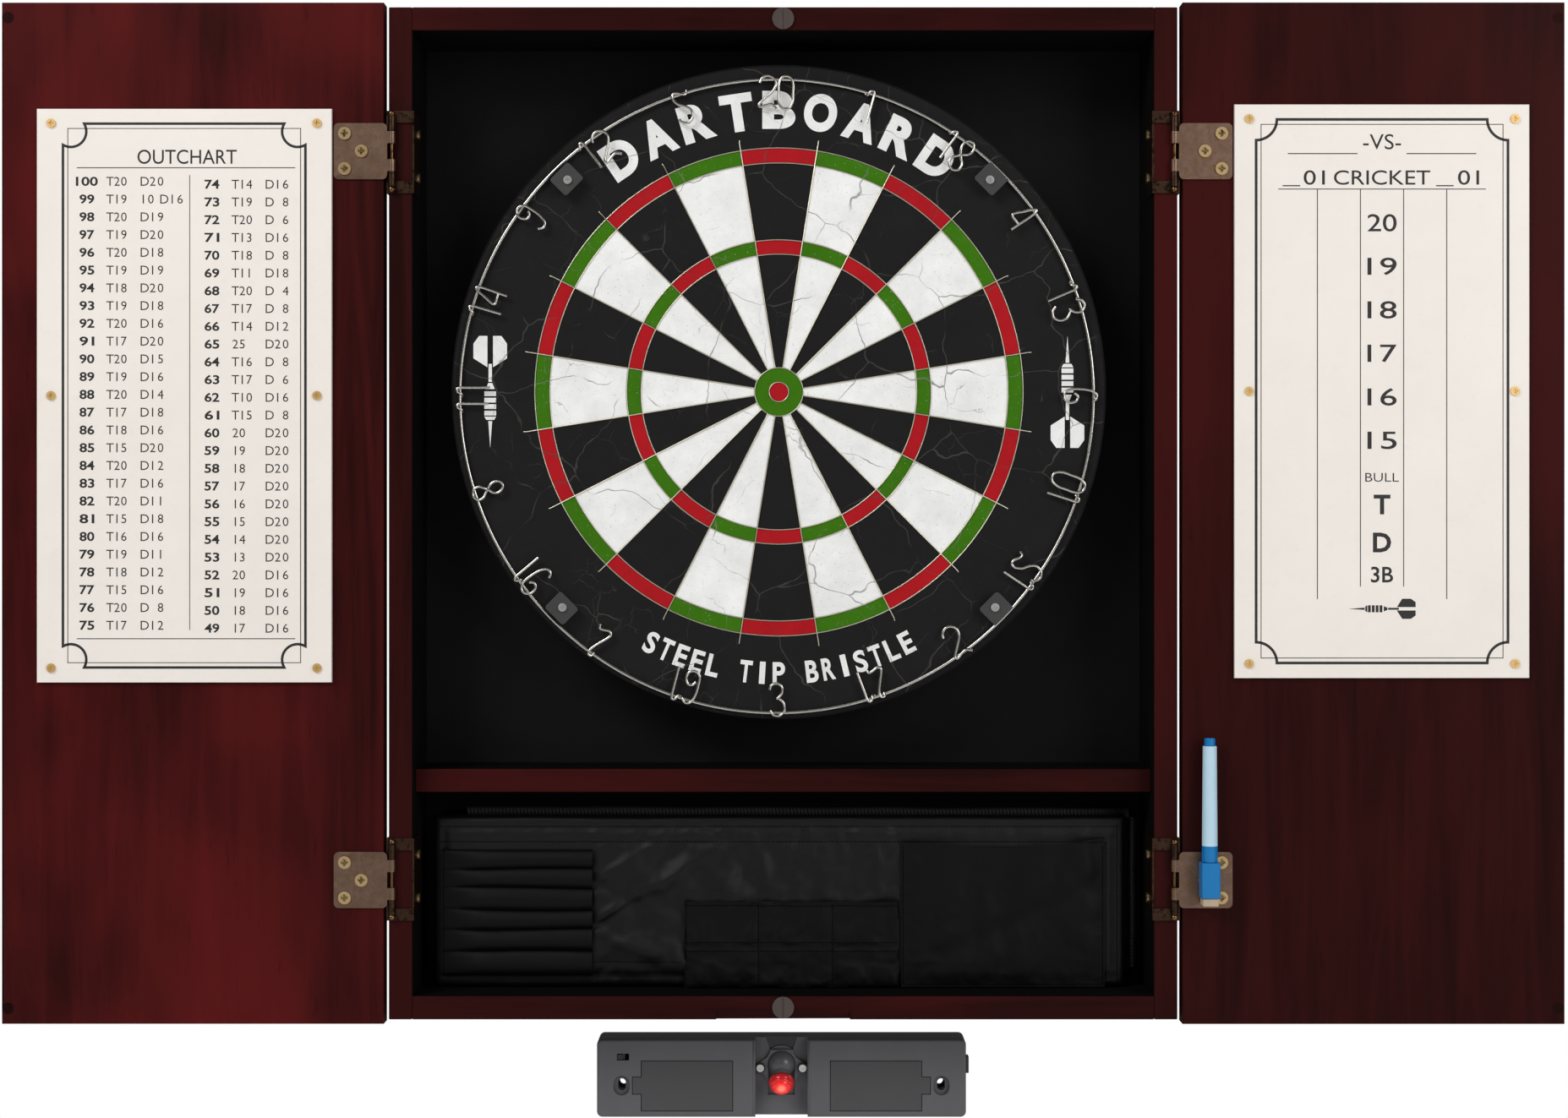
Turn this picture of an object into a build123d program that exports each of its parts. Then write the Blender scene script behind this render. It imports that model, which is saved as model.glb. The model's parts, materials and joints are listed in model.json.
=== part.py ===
from build123d import *
import math
import os

# A wall cabinet for a bristle dartboard, with two chart doors, a fabric organiser
# in its lower bay and a laser throw-line unit below it.  Millimetres, +Z up.
# The front faces -Y, the wall is the plane y = 0, x = 0 is the middle of the
# cabinet and z = 0 is the height of the bull's-eye.  A depth is a y value.

os.makedirs("parts", exist_ok=True)

# ---- cabinet body ---------------------------------------------------------
BODY_HALF = 271.0
BODY_TOP = 263.0
BODY_BOTTOM = -433.0
BODY_FRONT = -76.0
BOARD = 16.0
INNER_HALF = BODY_HALF - BOARD
BACK_PANEL = 5.0
REBATE = 6.0
DIVIDER_TOP = -262.0
DIVIDER_FRONT = -61.0
BAY_TOP = BODY_TOP - BOARD
BAY_BOTTOM = BODY_BOTTOM + BOARD
WALL_HOLE_RADIUS = 2.5
WALL_HOLE_X = 203.2
WALL_HOLE_ZS = (70.0, -70.0)
PULL_HALF = 46.0
PULL_HEIGHT = 7.0
PULL_DEPTH = 4.0

# ---- magnetic catches -----------------------------------------------------
CATCH_ZS = (255.0, -424.6)
CATCH_RADIUS = 7.5
CATCH_PROUD = 1.6
CATCH_BARREL = 5.5
CATCH_BARREL_LENGTH = 12.0
MAGNET_RADIUS = 4.2
STRIKE_RADIUS = 4.0
STRIKE_THICKNESS = 1.5
STRIKE_INSET = 4.5

# ---- doors and hinges -----------------------------------------------------
DOOR_THICKNESS = 16.0
DOOR_INNER = 274.0
DOOR_OUTER = 536.0
DOOR_OVERHANG = 2.5
DOOR_TOP = BODY_TOP + DOOR_OVERHANG
DOOR_BOTTOM = BODY_BOTTOM - DOOR_OVERHANG
DOOR_FACE = -79.4
HINGE_ZS = (163.2, -336.5)
PIN_X = 268.5
PIN_Y = -78.7
PIN_RADIUS = 1.2
PIN_HALF = 24.5
PIN_CAP = 2.4
PIN_CAP_HEIGHT = 25.9
KNUCKLE_RADIUS = 2.5
KNUCKLE_FIT = 0.05
FRAME_KNUCKLE = (14.0, 24.0)
DOOR_KNUCKLE = (5.5, 13.7)
FRAME_LEAF_HALF = 28.3
FRAME_LEAF_SHEET = 1.3
FLANGE_SHEET = 1.5
INNER_FLANGE_DEPTH = 25.0
OUTER_FLANGE_DEPTH = 15.0
STRIP_START = 20.0
DOOR_LEAF_HALF = 19.25
DOOR_LEAF_END = 308.0
DOOR_LEAF_SHEET = 1.3
LEAF_GAP = 2.9
LEAF_CORNER = 3.5
LEAF_SCREWS = ((300.5, 12.1), (300.5, -12.1), (289.0, 0.0))
LEAF_SCREW_HEAD = 4.35
LEAF_SCREW_PROUD = 1.0
FLANGE_SCREW_Y = -58.0
FLANGE_SCREW_ZS = (15.0, -15.0)

# ---- charts ---------------------------------------------------------------
CHART_THICKNESS = 3.0
CHART_INNER = 309.0
CHART_OUTER = 511.0
CHART_HEIGHT = 393.0
OUT_CHART_BOTTOM = -201.0
SCORE_CHART_BOTTOM = -198.0
CHART_SCREW_INSET = 10.0
CHART_SCREW_HEAD = 3.1

# ---- marker pen on the lower right hinge leaf -----------------------------
MARKER_X = 291.0
MARKER_Y = -88.5
MARKER_CAP_SIDE = 13.0
MARKER_CAP_BOTTOM = -347.5
MARKER_CAP_TOP = -323.2
MARKER_COLLAR_TOP = -312.2
MARKER_BARREL_TOP = -244.0
MARKER_END = -238.6
MARKER_FELT = 5.5

# ---- dartboard ------------------------------------------------------------
BOARD_X = -3.0
BOARD_RADIUS = 227.8
RIM_SHEET = 0.8
BOARD_BACK = -15.0
BACKING_FRONT = -27.0
BOARD_FRONT = -53.0
RIM_FRONT = -53.4
WIRE = 1.1
WIRE_HEIGHT = 1.0
WIRE_RINGS = (170.0, 159.5, 106.0, 96.0, 16.9, 6.8)
WIRE_REACH = 180.0
SECTORS = 20
SECTOR_STEP = 360.0 / SECTORS
SECTOR_NUMBERS = (20, 1, 18, 4, 13, 6, 10, 15, 2, 17, 3, 19, 7, 16, 8, 11, 14, 9, 12, 5)
NUMBER_RING_RADIUS = 217.0
NUMBER_RING_WIRE = 1.15
NUMBER_RING_X = BOARD_X - 1.4
NUMBER_RING_Y = -55.4
NUMBER_RING_Z = -3.1
DIGIT_BACK = -56.2
DIGIT_WIRE = 2.0
DIGIT_DEPTH = 2.2
DIGIT_HALF_HEIGHT = 13.0
DIGIT_PITCH = 13.0
DIGIT_INSET = 9.5
CLIP_FOOT = 4.0
CLIP_BACK = -53.2
CLIP_PLATE_BACK = -58.8
CLIP_PLATE_FRONT = -61.3
CLIP_INWARD = 7.0
CLIP_OUTWARD = 9.0
CLIP_WIDTH = 18.0
CLIP_SCREW_RADIUS = 1.5
SWIVEL_FIT = 0.06
SPACER_REACH = 190.0
SPACER_RADIUS = 8.0

# ---- hanging bracket ------------------------------------------------------
SHANK_RADIUS = 2.5
HANG_HEAD_RADIUS = 6.0
HANG_SLOT_HALF = 2.8
BRACKET_HALF = 30.0
BRACKET_TOP = 12.0
BRACKET_BOTTOM = -34.0
BRACKET_SHEET = 2.0
BRACKET_PLATE_FRONT = -13.0
BRACKET_FOOT = 16.0
BRACKET_SCREW_ZS = (2.0, -24.0)

# ---- organiser in the lower bay -------------------------------------------
ORGANIZER_LEFT = -245.0
ORGANIZER_RIGHT = 240.0
ORGANIZER_TOP = -296.5
ORGANIZER_BOTTOM = -416.5
ORGANIZER_BACK = -5.3
ORGANIZER_FRONT = -44.0
POCKET_PROUD = 6.0
SLEEVES_LEFT = -239.0
SLEEVES_RIGHT = -133.5
SLEEVES_TOP = -320.0
SLEEVES_BOTTOM = -408.0
SLEEVE_COUNT = 6
SMALL_LEFT = -69.0
SMALL_RIGHT = 81.0
SMALL_TOP = -356.0
SMALL_BOTTOM = -416.0
SMALL_COLUMNS = 3
LARGE_LEFT = 82.5
LARGE_RIGHT = 225.0
LARGE_TOP = -315.0
LARGE_BOTTOM = -416.0
LARGE_WALL = 1.3
LARGE_GAP = 4.4

# ---- laser throw-line unit ------------------------------------------------
LASER_X = -1.2
LASER_HALF = 130.5
LASER_TOP = -456.0
LASER_BOTTOM = -511.0
LASER_SPLIT = -14.0
LASER_FRONT = -28.0
LASER_WALL = 2.0
CHANNEL_HALF = 18.5
CHANNEL_FLOOR = -19.0
CHANNEL_WALL = 3.0
SLOT_X = 113.0
SLOT_Z = -488.6
SLOT_WIDTH = 5.5
SLOT_HEIGHT = 8.5
SLOT_RECESS_WIDTH = 11.5
SLOT_RECESS_HEIGHT = 14.0
SLOT_RECESS_FLOOR = -24.0
SLOT_BOSS_WALL = 1.2
DOOR_GAP = 0.4
BATTERY_DOOR_INNER = 34.6
BATTERY_DOOR_OUTER = 99.0
BATTERY_DOOR_TOP = -471.3
BATTERY_DOOR_BOTTOM = -506.5
BATTERY_LATCH = 6.2
BATTERY_LATCH_HALF = 6.0
BATTERY_RADIUS = 7.2
CELL_BUTTON_RISE = 1.0
CELL_BUTTON_RADIUS = 2.6
BATTERY_LENGTH = 50.0
BATTERY_Y = -18.0
BATTERY_ZS = (-481.3, -496.5)
SWITCH_X = -112.0
SWITCH_Z = -468.4
SWITCH_HALF = 4.3
SWITCH_HEIGHT = 4.8
SWITCH_KNOB = 4.0
BUTTON_Y = -21.0
BUTTON_DEPTH = 8.0
BUTTON_Z = -474.5
BUTTON_HEIGHT = 12.6
BUTTON_PROUD = 2.1
BALL_Y = -18.0
BALL_Z = -474.9
BALL_RADIUS = 10.0
BALL_FIT = 0.3
AIM = Vector(0, -math.sqrt(0.5), -math.sqrt(0.5))
NECK_RADIUS = 6.0
NECK_END = 12.5
LENS_RADIUS = 8.6
LENS_START = 12.9
LENS_LENGTH = 5.6
LENS_DOME = 4.0
SPIGOT_RADIUS = 4.0
RETAINER_FRONT = -24.0
RETAINER_SCREW_X = 15.0
RETAINER_SCREW_Z = -477.0

LOW_END = (Align.CENTER, Align.CENTER, Align.MIN)


def front_plane(depth, x=0.0, z=0.0):
    """A plane that faces the front, with +X to the right and +Z up."""
    return Plane(origin=(x, depth, z), x_dir=(1, 0, 0), z_dir=(0, -1, 0))


def block(low, high, mode=Mode.ADD):
    """A block between two opposite corners, in the part being built."""
    size = [b - a for a, b in zip(low, high)]
    with Locations(tuple((a + b) / 2 for a, b in zip(low, high))):
        Box(*size, mode=mode)


def rod(start, end, radius, mode=Mode.ADD):
    """A round rod from one point to another, in the part being built."""
    along = Vector(*end) - Vector(*start)
    with Locations(Plane(origin=start, z_dir=along)):
        Cylinder(radius, along.length, align=LOW_END, mode=mode)


def ball(centre, radius, mode=Mode.ADD):
    """A sphere about a point, in the part being built."""
    with Locations(centre):
        Sphere(radius, mode=mode)


def cross_slot(x, z, face, reach, width, depth):
    """The cross recess of a screw whose head faces the front."""
    block((x - reach, face, z - width / 2), (x + reach, face + depth, z + width / 2), Mode.SUBTRACT)
    block((x - width / 2, face, z - reach), (x + width / 2, face + depth, z + reach), Mode.SUBTRACT)


# ============================ cabinet carcass ==============================
def flange_screw_points(side):
    """Where the screws of both inner hinge flanges enter one side board."""
    for hinge_z in HINGE_ZS:
        for dz in FLANGE_SCREW_ZS:
            yield side * INNER_HALF, FLANGE_SCREW_Y, hinge_z + dz


def side_board(side):
    """One upright side of the case, with its rebate and the hinge screw holes."""
    low_x, high_x = sorted((side * INNER_HALF, side * BODY_HALF))
    block((low_x, BODY_FRONT, BODY_BOTTOM), (high_x, 0, BODY_TOP))
    low_x, high_x = sorted((side * INNER_HALF, side * (INNER_HALF + REBATE)))
    block(
        (low_x, -BACK_PANEL, BAY_BOTTOM - REBATE),
        (high_x, 0, BAY_TOP + REBATE),
        Mode.SUBTRACT,
    )
    for x, y, z in flange_screw_points(side):
        rod((x, y, z), (x + side * 12, y, z), 1.5, Mode.SUBTRACT)


with BuildPart() as side_panel_left:
    side_board(-1)

with BuildPart() as side_panel_right:
    side_board(1)

with BuildPart() as top_panel:
    block((-INNER_HALF, BODY_FRONT, BAY_TOP), (INNER_HALF, 0, BODY_TOP))
    block((-INNER_HALF, -BACK_PANEL, BAY_TOP), (INNER_HALF, 0, BAY_TOP + REBATE), Mode.SUBTRACT)
    rod((0, BODY_FRONT, CATCH_ZS[0]), (0, BODY_FRONT + CATCH_BARREL_LENGTH, CATCH_ZS[0]),
        CATCH_BARREL, Mode.SUBTRACT)

with BuildPart() as bottom_panel:
    block((-INNER_HALF, BODY_FRONT, BODY_BOTTOM), (INNER_HALF, 0, BAY_BOTTOM))
    block(
        (-INNER_HALF, -BACK_PANEL, BAY_BOTTOM - REBATE),
        (INNER_HALF, 0, BAY_BOTTOM),
        Mode.SUBTRACT,
    )
    rod((0, BODY_FRONT, CATCH_ZS[1]), (0, BODY_FRONT + CATCH_BARREL_LENGTH, CATCH_ZS[1]),
        CATCH_BARREL, Mode.SUBTRACT)
    # the finger pull: a bevel along the middle of the lower front edge
    with BuildSketch(Plane.YZ.offset(-PULL_HALF)):
        with BuildLine():
            Polyline(
                (BODY_FRONT, BODY_BOTTOM),
                (BODY_FRONT, BODY_BOTTOM + PULL_HEIGHT),
                (BODY_FRONT + PULL_DEPTH, BODY_BOTTOM),
                close=True,
            )
        make_face()
    extrude(amount=2 * PULL_HALF, mode=Mode.SUBTRACT)

with BuildPart() as divider_shelf:
    block(
        (-INNER_HALF, DIVIDER_FRONT, DIVIDER_TOP - BOARD),
        (INNER_HALF, -BACK_PANEL, DIVIDER_TOP),
    )

BRACKET_SCREW_X = BRACKET_HALF + BRACKET_FOOT / 2
BRACKET_SCREW_POINTS = [
    (BOARD_X + side * BRACKET_SCREW_X, z) for side in (-1, 1) for z in BRACKET_SCREW_ZS
]

with BuildPart() as back_panel:
    block(
        (-INNER_HALF - REBATE, -BACK_PANEL, BAY_BOTTOM - REBATE),
        (INNER_HALF + REBATE, 0, BAY_TOP + REBATE),
    )
    for x in (-WALL_HOLE_X, WALL_HOLE_X):
        for z in WALL_HOLE_ZS:
            rod((x, 0, z), (x, -BACK_PANEL, z), WALL_HOLE_RADIUS, Mode.SUBTRACT)
    for x, z in BRACKET_SCREW_POINTS:
        rod((x, -0.8, z), (x, -BACK_PANEL, z), 1.6, Mode.SUBTRACT)

# ============================ hanging bracket ==============================
BRACKET_PLATE_BACK = BRACKET_PLATE_FRONT + BRACKET_SHEET
FOOT_FRONT = -BACK_PANEL - BRACKET_SHEET

with BuildPart() as board_bracket:
    block(
        (BOARD_X - BRACKET_HALF, BRACKET_PLATE_FRONT, BRACKET_BOTTOM),
        (BOARD_X + BRACKET_HALF, BRACKET_PLATE_BACK, BRACKET_TOP),
    )
    for side in (-1, 1):
        low_x, high_x = sorted((side * (BRACKET_HALF - BRACKET_SHEET), side * BRACKET_HALF))
        block(
            (BOARD_X + low_x, BRACKET_PLATE_BACK, BRACKET_BOTTOM),
            (BOARD_X + high_x, -BACK_PANEL, BRACKET_TOP),
        )
        low_x, high_x = sorted((side * BRACKET_HALF, side * (BRACKET_HALF + BRACKET_FOOT)))
        block(
            (BOARD_X + low_x, FOOT_FRONT, BRACKET_BOTTOM),
            (BOARD_X + high_x, -BACK_PANEL, BRACKET_TOP),
        )
    for x, z in BRACKET_SCREW_POINTS:
        rod((x, FOOT_FRONT, z), (x, -BACK_PANEL, z), 1.6, Mode.SUBTRACT)
    # the keeper slot, open at the top and round at the bottom
    with BuildSketch(front_plane(BRACKET_PLATE_BACK, BOARD_X)):
        Circle(HANG_SLOT_HALF)
        with Locations((0, BRACKET_TOP)):
            Rectangle(2 * HANG_SLOT_HALF, 2 * BRACKET_TOP)
    extrude(amount=BRACKET_SHEET, mode=Mode.SUBTRACT)

with BuildPart() as bracket_screws:
    for x, z in BRACKET_SCREW_POINTS:
        rod((x, -0.8, z), (x, FOOT_FRONT, z), 1.6)
        rod((x, FOOT_FRONT, z), (x, FOOT_FRONT - 2, z), 3.4)
        cross_slot(x, z, FOOT_FRONT - 2, 2.0, 0.8, 1.0)

with BuildPart() as hang_screw:
    rod((BOARD_X, BACKING_FRONT + 1, 0), (BOARD_X, BRACKET_PLATE_BACK + 0.2, 0), SHANK_RADIUS)
    rod(
        (BOARD_X, BRACKET_PLATE_BACK + 0.2, 0),
        (BOARD_X, BRACKET_PLATE_BACK + 2.8, 0),
        HANG_HEAD_RADIUS,
    )

# ============================ magnetic catches =============================
CATCH_FACE = BODY_FRONT - CATCH_PROUD

with BuildPart() as catch_housings:
    for z in CATCH_ZS:
        rod((0, BODY_FRONT + CATCH_BARREL_LENGTH, z), (0, BODY_FRONT, z), CATCH_BARREL)
        rod((0, BODY_FRONT, z), (0, CATCH_FACE, z), CATCH_RADIUS)
        rod((0, BODY_FRONT - 0.4, z), (0, BODY_FRONT + 10, z), MAGNET_RADIUS, Mode.SUBTRACT)
        block((-0.5, CATCH_FACE, z - 8), (0.5, CATCH_FACE + 0.6, z + 8), Mode.SUBTRACT)

with BuildPart() as catch_magnets:
    for z in CATCH_ZS:
        rod((0, BODY_FRONT - 0.4, z), (0, BODY_FRONT + 10, z), MAGNET_RADIUS)

# ============================ hinges =======================================
LEAF_FRONT = BODY_FRONT - FRAME_LEAF_SHEET


def frame_leaf(side, hinge_z):
    """The wrap-round leaf on the case: two flanges, two strips and two knuckles."""

    def piece(x0, x1, y0, y1, z0, z1):
        low_x, high_x = sorted((side * x0, side * x1))
        block((low_x, y0, hinge_z + z0), (high_x, y1, hinge_z + z1))

    half = FRAME_LEAF_HALF
    flange_in = INNER_HALF - FLANGE_SHEET
    flange_out = BODY_HALF + FLANGE_SHEET
    piece(flange_in, INNER_HALF, BODY_FRONT, BODY_FRONT + INNER_FLANGE_DEPTH, -half, half)
    piece(BODY_HALF, flange_out, LEAF_FRONT, BODY_FRONT + OUTER_FLANGE_DEPTH, -half, half)
    for up in (-1, 1):
        low_z, high_z = sorted((up * STRIP_START, up * half))
        piece(flange_in, flange_out, LEAF_FRONT, BODY_FRONT, low_z, high_z)
        low_z, high_z = sorted((up * FRAME_KNUCKLE[0], up * STRIP_START))
        piece(PIN_X, flange_out, LEAF_FRONT, BODY_FRONT, low_z, high_z)
        low_z, high_z = sorted((up * FRAME_KNUCKLE[0], up * FRAME_KNUCKLE[1]))
        piece(PIN_X - 0.4, PIN_X + 0.4, PIN_Y, LEAF_FRONT, low_z, high_z)
        start = (side * PIN_X, PIN_Y, hinge_z + low_z)
        end = (side * PIN_X, PIN_Y, hinge_z + high_z)
        rod(start, end, KNUCKLE_RADIUS)
        rod(start, end, PIN_RADIUS, Mode.SUBTRACT)
        ball((side * PIN_X, PIN_Y, hinge_z + up * PIN_CAP_HEIGHT), PIN_CAP + 0.1, Mode.SUBTRACT)


def flange_screws(side, mode, radius, start, end):
    """Rods along X through the inner flange, from one depth in the wood to another."""
    for x, y, z in flange_screw_points(side):
        rod((x + side * start, y, z), (x + side * end, y, z), radius, mode)


with BuildPart() as frame_leaves:
    for side in (-1, 1):
        for hinge_z in HINGE_ZS:
            frame_leaf(side, hinge_z)
        flange_screws(side, Mode.SUBTRACT, 1.5, -FLANGE_SHEET, 0)

with BuildPart() as frame_leaf_screws:
    for side in (-1, 1):
        flange_screws(side, Mode.ADD, 1.5, -FLANGE_SHEET, 11.5)
        flange_screws(side, Mode.ADD, 3.4, -FLANGE_SHEET - 1.2, -FLANGE_SHEET)

with BuildPart() as hinge_pins:
    for side in (-1, 1):
        for hinge_z in HINGE_ZS:
            low = (side * PIN_X, PIN_Y, hinge_z - PIN_HALF)
            high = (side * PIN_X, PIN_Y, hinge_z + PIN_HALF)
            rod(low, high, PIN_RADIUS)
            for up in (-1, 1):
                ball((side * PIN_X, PIN_Y, hinge_z + up * PIN_CAP_HEIGHT), PIN_CAP)
            # the caps are trimmed where they would enter the frame knuckles
            for up in (-1, 1):
                low_z, high_z = sorted((up * FRAME_KNUCKLE[0], up * FRAME_KNUCKLE[1]))
                with BuildSketch(Plane.XY.offset(hinge_z + low_z)):
                    with Locations((side * PIN_X, PIN_Y)):
                        Circle(KNUCKLE_RADIUS + 1)
                        Circle(PIN_RADIUS, mode=Mode.SUBTRACT)
                extrude(amount=high_z - low_z, mode=Mode.SUBTRACT)

DOOR_LEAF_FRONT = DOOR_FACE - DOOR_LEAF_SHEET
KNUCKLE_BORE = PIN_RADIUS + KNUCKLE_FIT


def door_leaf(side, hinge_z):
    """The flat leaf on the door, with its two knuckles inside the frame's pair."""
    start_x = PIN_X + LEAF_GAP
    middle = front_plane(DOOR_FACE, side * (start_x + DOOR_LEAF_END) / 2, hinge_z)
    with BuildSketch(middle) as outline:
        RectangleRounded(DOOR_LEAF_END - start_x, 2 * DOOR_LEAF_HALF, LEAF_CORNER)
    extrude(outline.sketch, amount=DOOR_LEAF_SHEET)
    for up in (-1, 1):
        low_z, high_z = sorted((up * DOOR_KNUCKLE[0], up * DOOR_KNUCKLE[1]))
        low_x, high_x = sorted((side * (PIN_X + 0.8), side * (start_x + 2)))
        block(
            (low_x, DOOR_LEAF_FRONT, hinge_z + low_z),
            (high_x, DOOR_FACE, hinge_z + high_z),
        )
        start = (side * PIN_X, PIN_Y, hinge_z + low_z)
        end = (side * PIN_X, PIN_Y, hinge_z + high_z)
        rod(start, end, KNUCKLE_RADIUS)
        rod(start, end, KNUCKLE_BORE, Mode.SUBTRACT)


def leaf_screw_points(side):
    """Where the three screws of both leaves of one door stand."""
    for hinge_z in HINGE_ZS:
        for x, dz in LEAF_SCREWS:
            yield side * x, hinge_z + dz


def door_leaf_pair(side):
    """Both leaves of one door, drilled for their screws."""
    for hinge_z in HINGE_ZS:
        door_leaf(side, hinge_z)
    for x, z in leaf_screw_points(side):
        rod((x, DOOR_FACE, z), (x, DOOR_LEAF_FRONT, z), 1.8, Mode.SUBTRACT)


def front_screw(x, z, seat, tip, shank, head, proud):
    """A cross-head screw that enters from the front and stands on its seat."""
    rod((x, tip, z), (x, seat, z), shank)
    rod((x, seat, z), (x, seat - proud, z), head)
    cross_slot(x, z, seat - proud, head * 0.55, head * 0.24, proud * 0.6)


with BuildPart() as door_leaves_left:
    door_leaf_pair(-1)

with BuildPart() as door_leaves_right:
    door_leaf_pair(1)

with BuildPart() as door_leaf_screws_left:
    for x, z in leaf_screw_points(-1):
        front_screw(x, z, DOOR_LEAF_FRONT, DOOR_FACE + 12, 1.8, LEAF_SCREW_HEAD, LEAF_SCREW_PROUD)

with BuildPart() as door_leaf_screws_right:
    for x, z in leaf_screw_points(1):
        front_screw(x, z, DOOR_LEAF_FRONT, DOOR_FACE + 12, 1.8, LEAF_SCREW_HEAD, LEAF_SCREW_PROUD)

# ============================ doors and charts =============================
STRIKE_X = DOOR_OUTER - STRIKE_INSET


def chart_screw_points(side, bottom):
    """Six screws: the four corners and the middle of both long edges."""
    for x in (CHART_INNER + CHART_SCREW_INSET, CHART_OUTER - CHART_SCREW_INSET):
        for part_way in (0.0, 0.5, 1.0):
            span = CHART_HEIGHT - 2 * CHART_SCREW_INSET
            yield side * x, bottom + CHART_SCREW_INSET + part_way * span


def door(side, chart_bottom):
    """A plain door board, drilled for its strikes, leaves and chart."""
    low_x, high_x = sorted((side * DOOR_INNER, side * DOOR_OUTER))
    block((low_x, DOOR_FACE, DOOR_BOTTOM), (high_x, DOOR_FACE + DOOR_THICKNESS, DOOR_TOP))
    for z in CATCH_ZS:
        rod((side * STRIKE_X, DOOR_FACE + STRIKE_THICKNESS, z), (side * STRIKE_X, DOOR_FACE, z),
            STRIKE_RADIUS, Mode.SUBTRACT)
    for x, z in leaf_screw_points(side):
        rod((x, DOOR_FACE + 12, z), (x, DOOR_FACE, z), 1.8, Mode.SUBTRACT)
    for x, z in chart_screw_points(side, chart_bottom):
        rod((x, DOOR_FACE + 8, z), (x, DOOR_FACE, z), 1.2, Mode.SUBTRACT)


def strikes(side):
    """The two steel discs let in flush near the free corners of a door."""
    for z in CATCH_ZS:
        rod((side * STRIKE_X, DOOR_FACE + STRIKE_THICKNESS, z), (side * STRIKE_X, DOOR_FACE, z),
            STRIKE_RADIUS)


CHART_FRONT = DOOR_FACE - CHART_THICKNESS


def chart(side, bottom):
    """A flat board on the inner face of a door, drilled for six screws."""
    low_x, high_x = sorted((side * CHART_INNER, side * CHART_OUTER))
    block((low_x, CHART_FRONT, bottom), (high_x, DOOR_FACE, bottom + CHART_HEIGHT))
    for x, z in chart_screw_points(side, bottom):
        rod((x, DOOR_FACE, z), (x, CHART_FRONT, z), 1.2, Mode.SUBTRACT)


with BuildPart() as left_door:
    door(-1, OUT_CHART_BOTTOM)

with BuildPart() as right_door:
    door(1, SCORE_CHART_BOTTOM)

with BuildPart() as strikes_left:
    strikes(-1)

with BuildPart() as strikes_right:
    strikes(1)

with BuildPart() as out_chart:
    chart(-1, OUT_CHART_BOTTOM)

with BuildPart() as score_chart:
    chart(1, SCORE_CHART_BOTTOM)

with BuildPart() as out_chart_screws:
    for x, z in chart_screw_points(-1, OUT_CHART_BOTTOM):
        front_screw(x, z, CHART_FRONT, DOOR_FACE + 8, 1.2, CHART_SCREW_HEAD, 1.1)

with BuildPart() as score_chart_screws:
    for x, z in chart_screw_points(1, SCORE_CHART_BOTTOM):
        front_screw(x, z, CHART_FRONT, DOOR_FACE + 8, 1.2, CHART_SCREW_HEAD, 1.1)

# ============================ marker pen ===================================
MARKER_FIT = 0.05
MARKER_SPIGOT = 4.0
NIB_RADIUS = 2.0


def marker_rod(low_z, high_z, radius, mode=Mode.ADD):
    """A round stretch of the marker between two heights."""
    rod((MARKER_X, MARKER_Y, low_z), (MARKER_X, MARKER_Y, high_z), radius, mode)


with BuildPart() as marker_cap:
    with BuildSketch(Plane.XY.offset(MARKER_CAP_BOTTOM)):
        with Locations((MARKER_X, MARKER_Y)):
            RectangleRounded(MARKER_CAP_SIDE, MARKER_CAP_SIDE, 1.5)
    extrude(amount=MARKER_CAP_TOP - MARKER_CAP_BOTTOM)
    marker_rod(MARKER_CAP_BOTTOM + 4, MARKER_CAP_TOP, MARKER_SPIGOT + MARKER_FIT, Mode.SUBTRACT)

with BuildPart() as marker_eraser:
    with BuildSketch(Plane.XY.offset(MARKER_CAP_BOTTOM - MARKER_FELT)):
        with Locations((MARKER_X, MARKER_Y)):
            RectangleRounded(MARKER_CAP_SIDE - 2, MARKER_CAP_SIDE - 2, 1.0)
    extrude(amount=MARKER_FELT)

with BuildPart() as marker_collar:
    marker_rod(MARKER_CAP_TOP + 0.2, MARKER_COLLAR_TOP, 5.4)
    marker_rod(MARKER_CAP_TOP - 8, MARKER_CAP_TOP + 0.2, MARKER_SPIGOT)
    marker_rod(MARKER_CAP_TOP - 8, MARKER_COLLAR_TOP, NIB_RADIUS, Mode.SUBTRACT)

with BuildPart() as marker_nib:
    marker_rod(MARKER_CAP_TOP - 14, MARKER_COLLAR_TOP + 8, NIB_RADIUS)

with BuildPart() as marker_barrel:
    with BuildSketch(Plane.XY.offset(MARKER_COLLAR_TOP)):
        with Locations((MARKER_X, MARKER_Y)):
            Circle(5.3)
    with BuildSketch(Plane.XY.offset(MARKER_BARREL_TOP)):
        with Locations((MARKER_X, MARKER_Y)):
            Circle(4.75)
    loft()
    marker_rod(MARKER_COLLAR_TOP, MARKER_COLLAR_TOP + 8, NIB_RADIUS, Mode.SUBTRACT)

with BuildPart() as marker_plug:
    marker_rod(MARKER_BARREL_TOP, MARKER_END, 3.75)
    fillet(marker_plug.edges().group_by(Axis.Z)[-1], 1.0)

# ============================ dartboard ====================================
# the ring hangs a little low, so the lower clips stand further out
CLIP_SPOTS = ((45.0, 207.0), (135.0, 207.0), (225.0, 212.0), (315.0, 212.0))


def reach_point(reach, angle):
    """The x and z of a point of the board at a distance and angle from the bull."""
    a = math.radians(angle)
    return BOARD_X + reach * math.cos(a), reach * math.sin(a)


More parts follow.
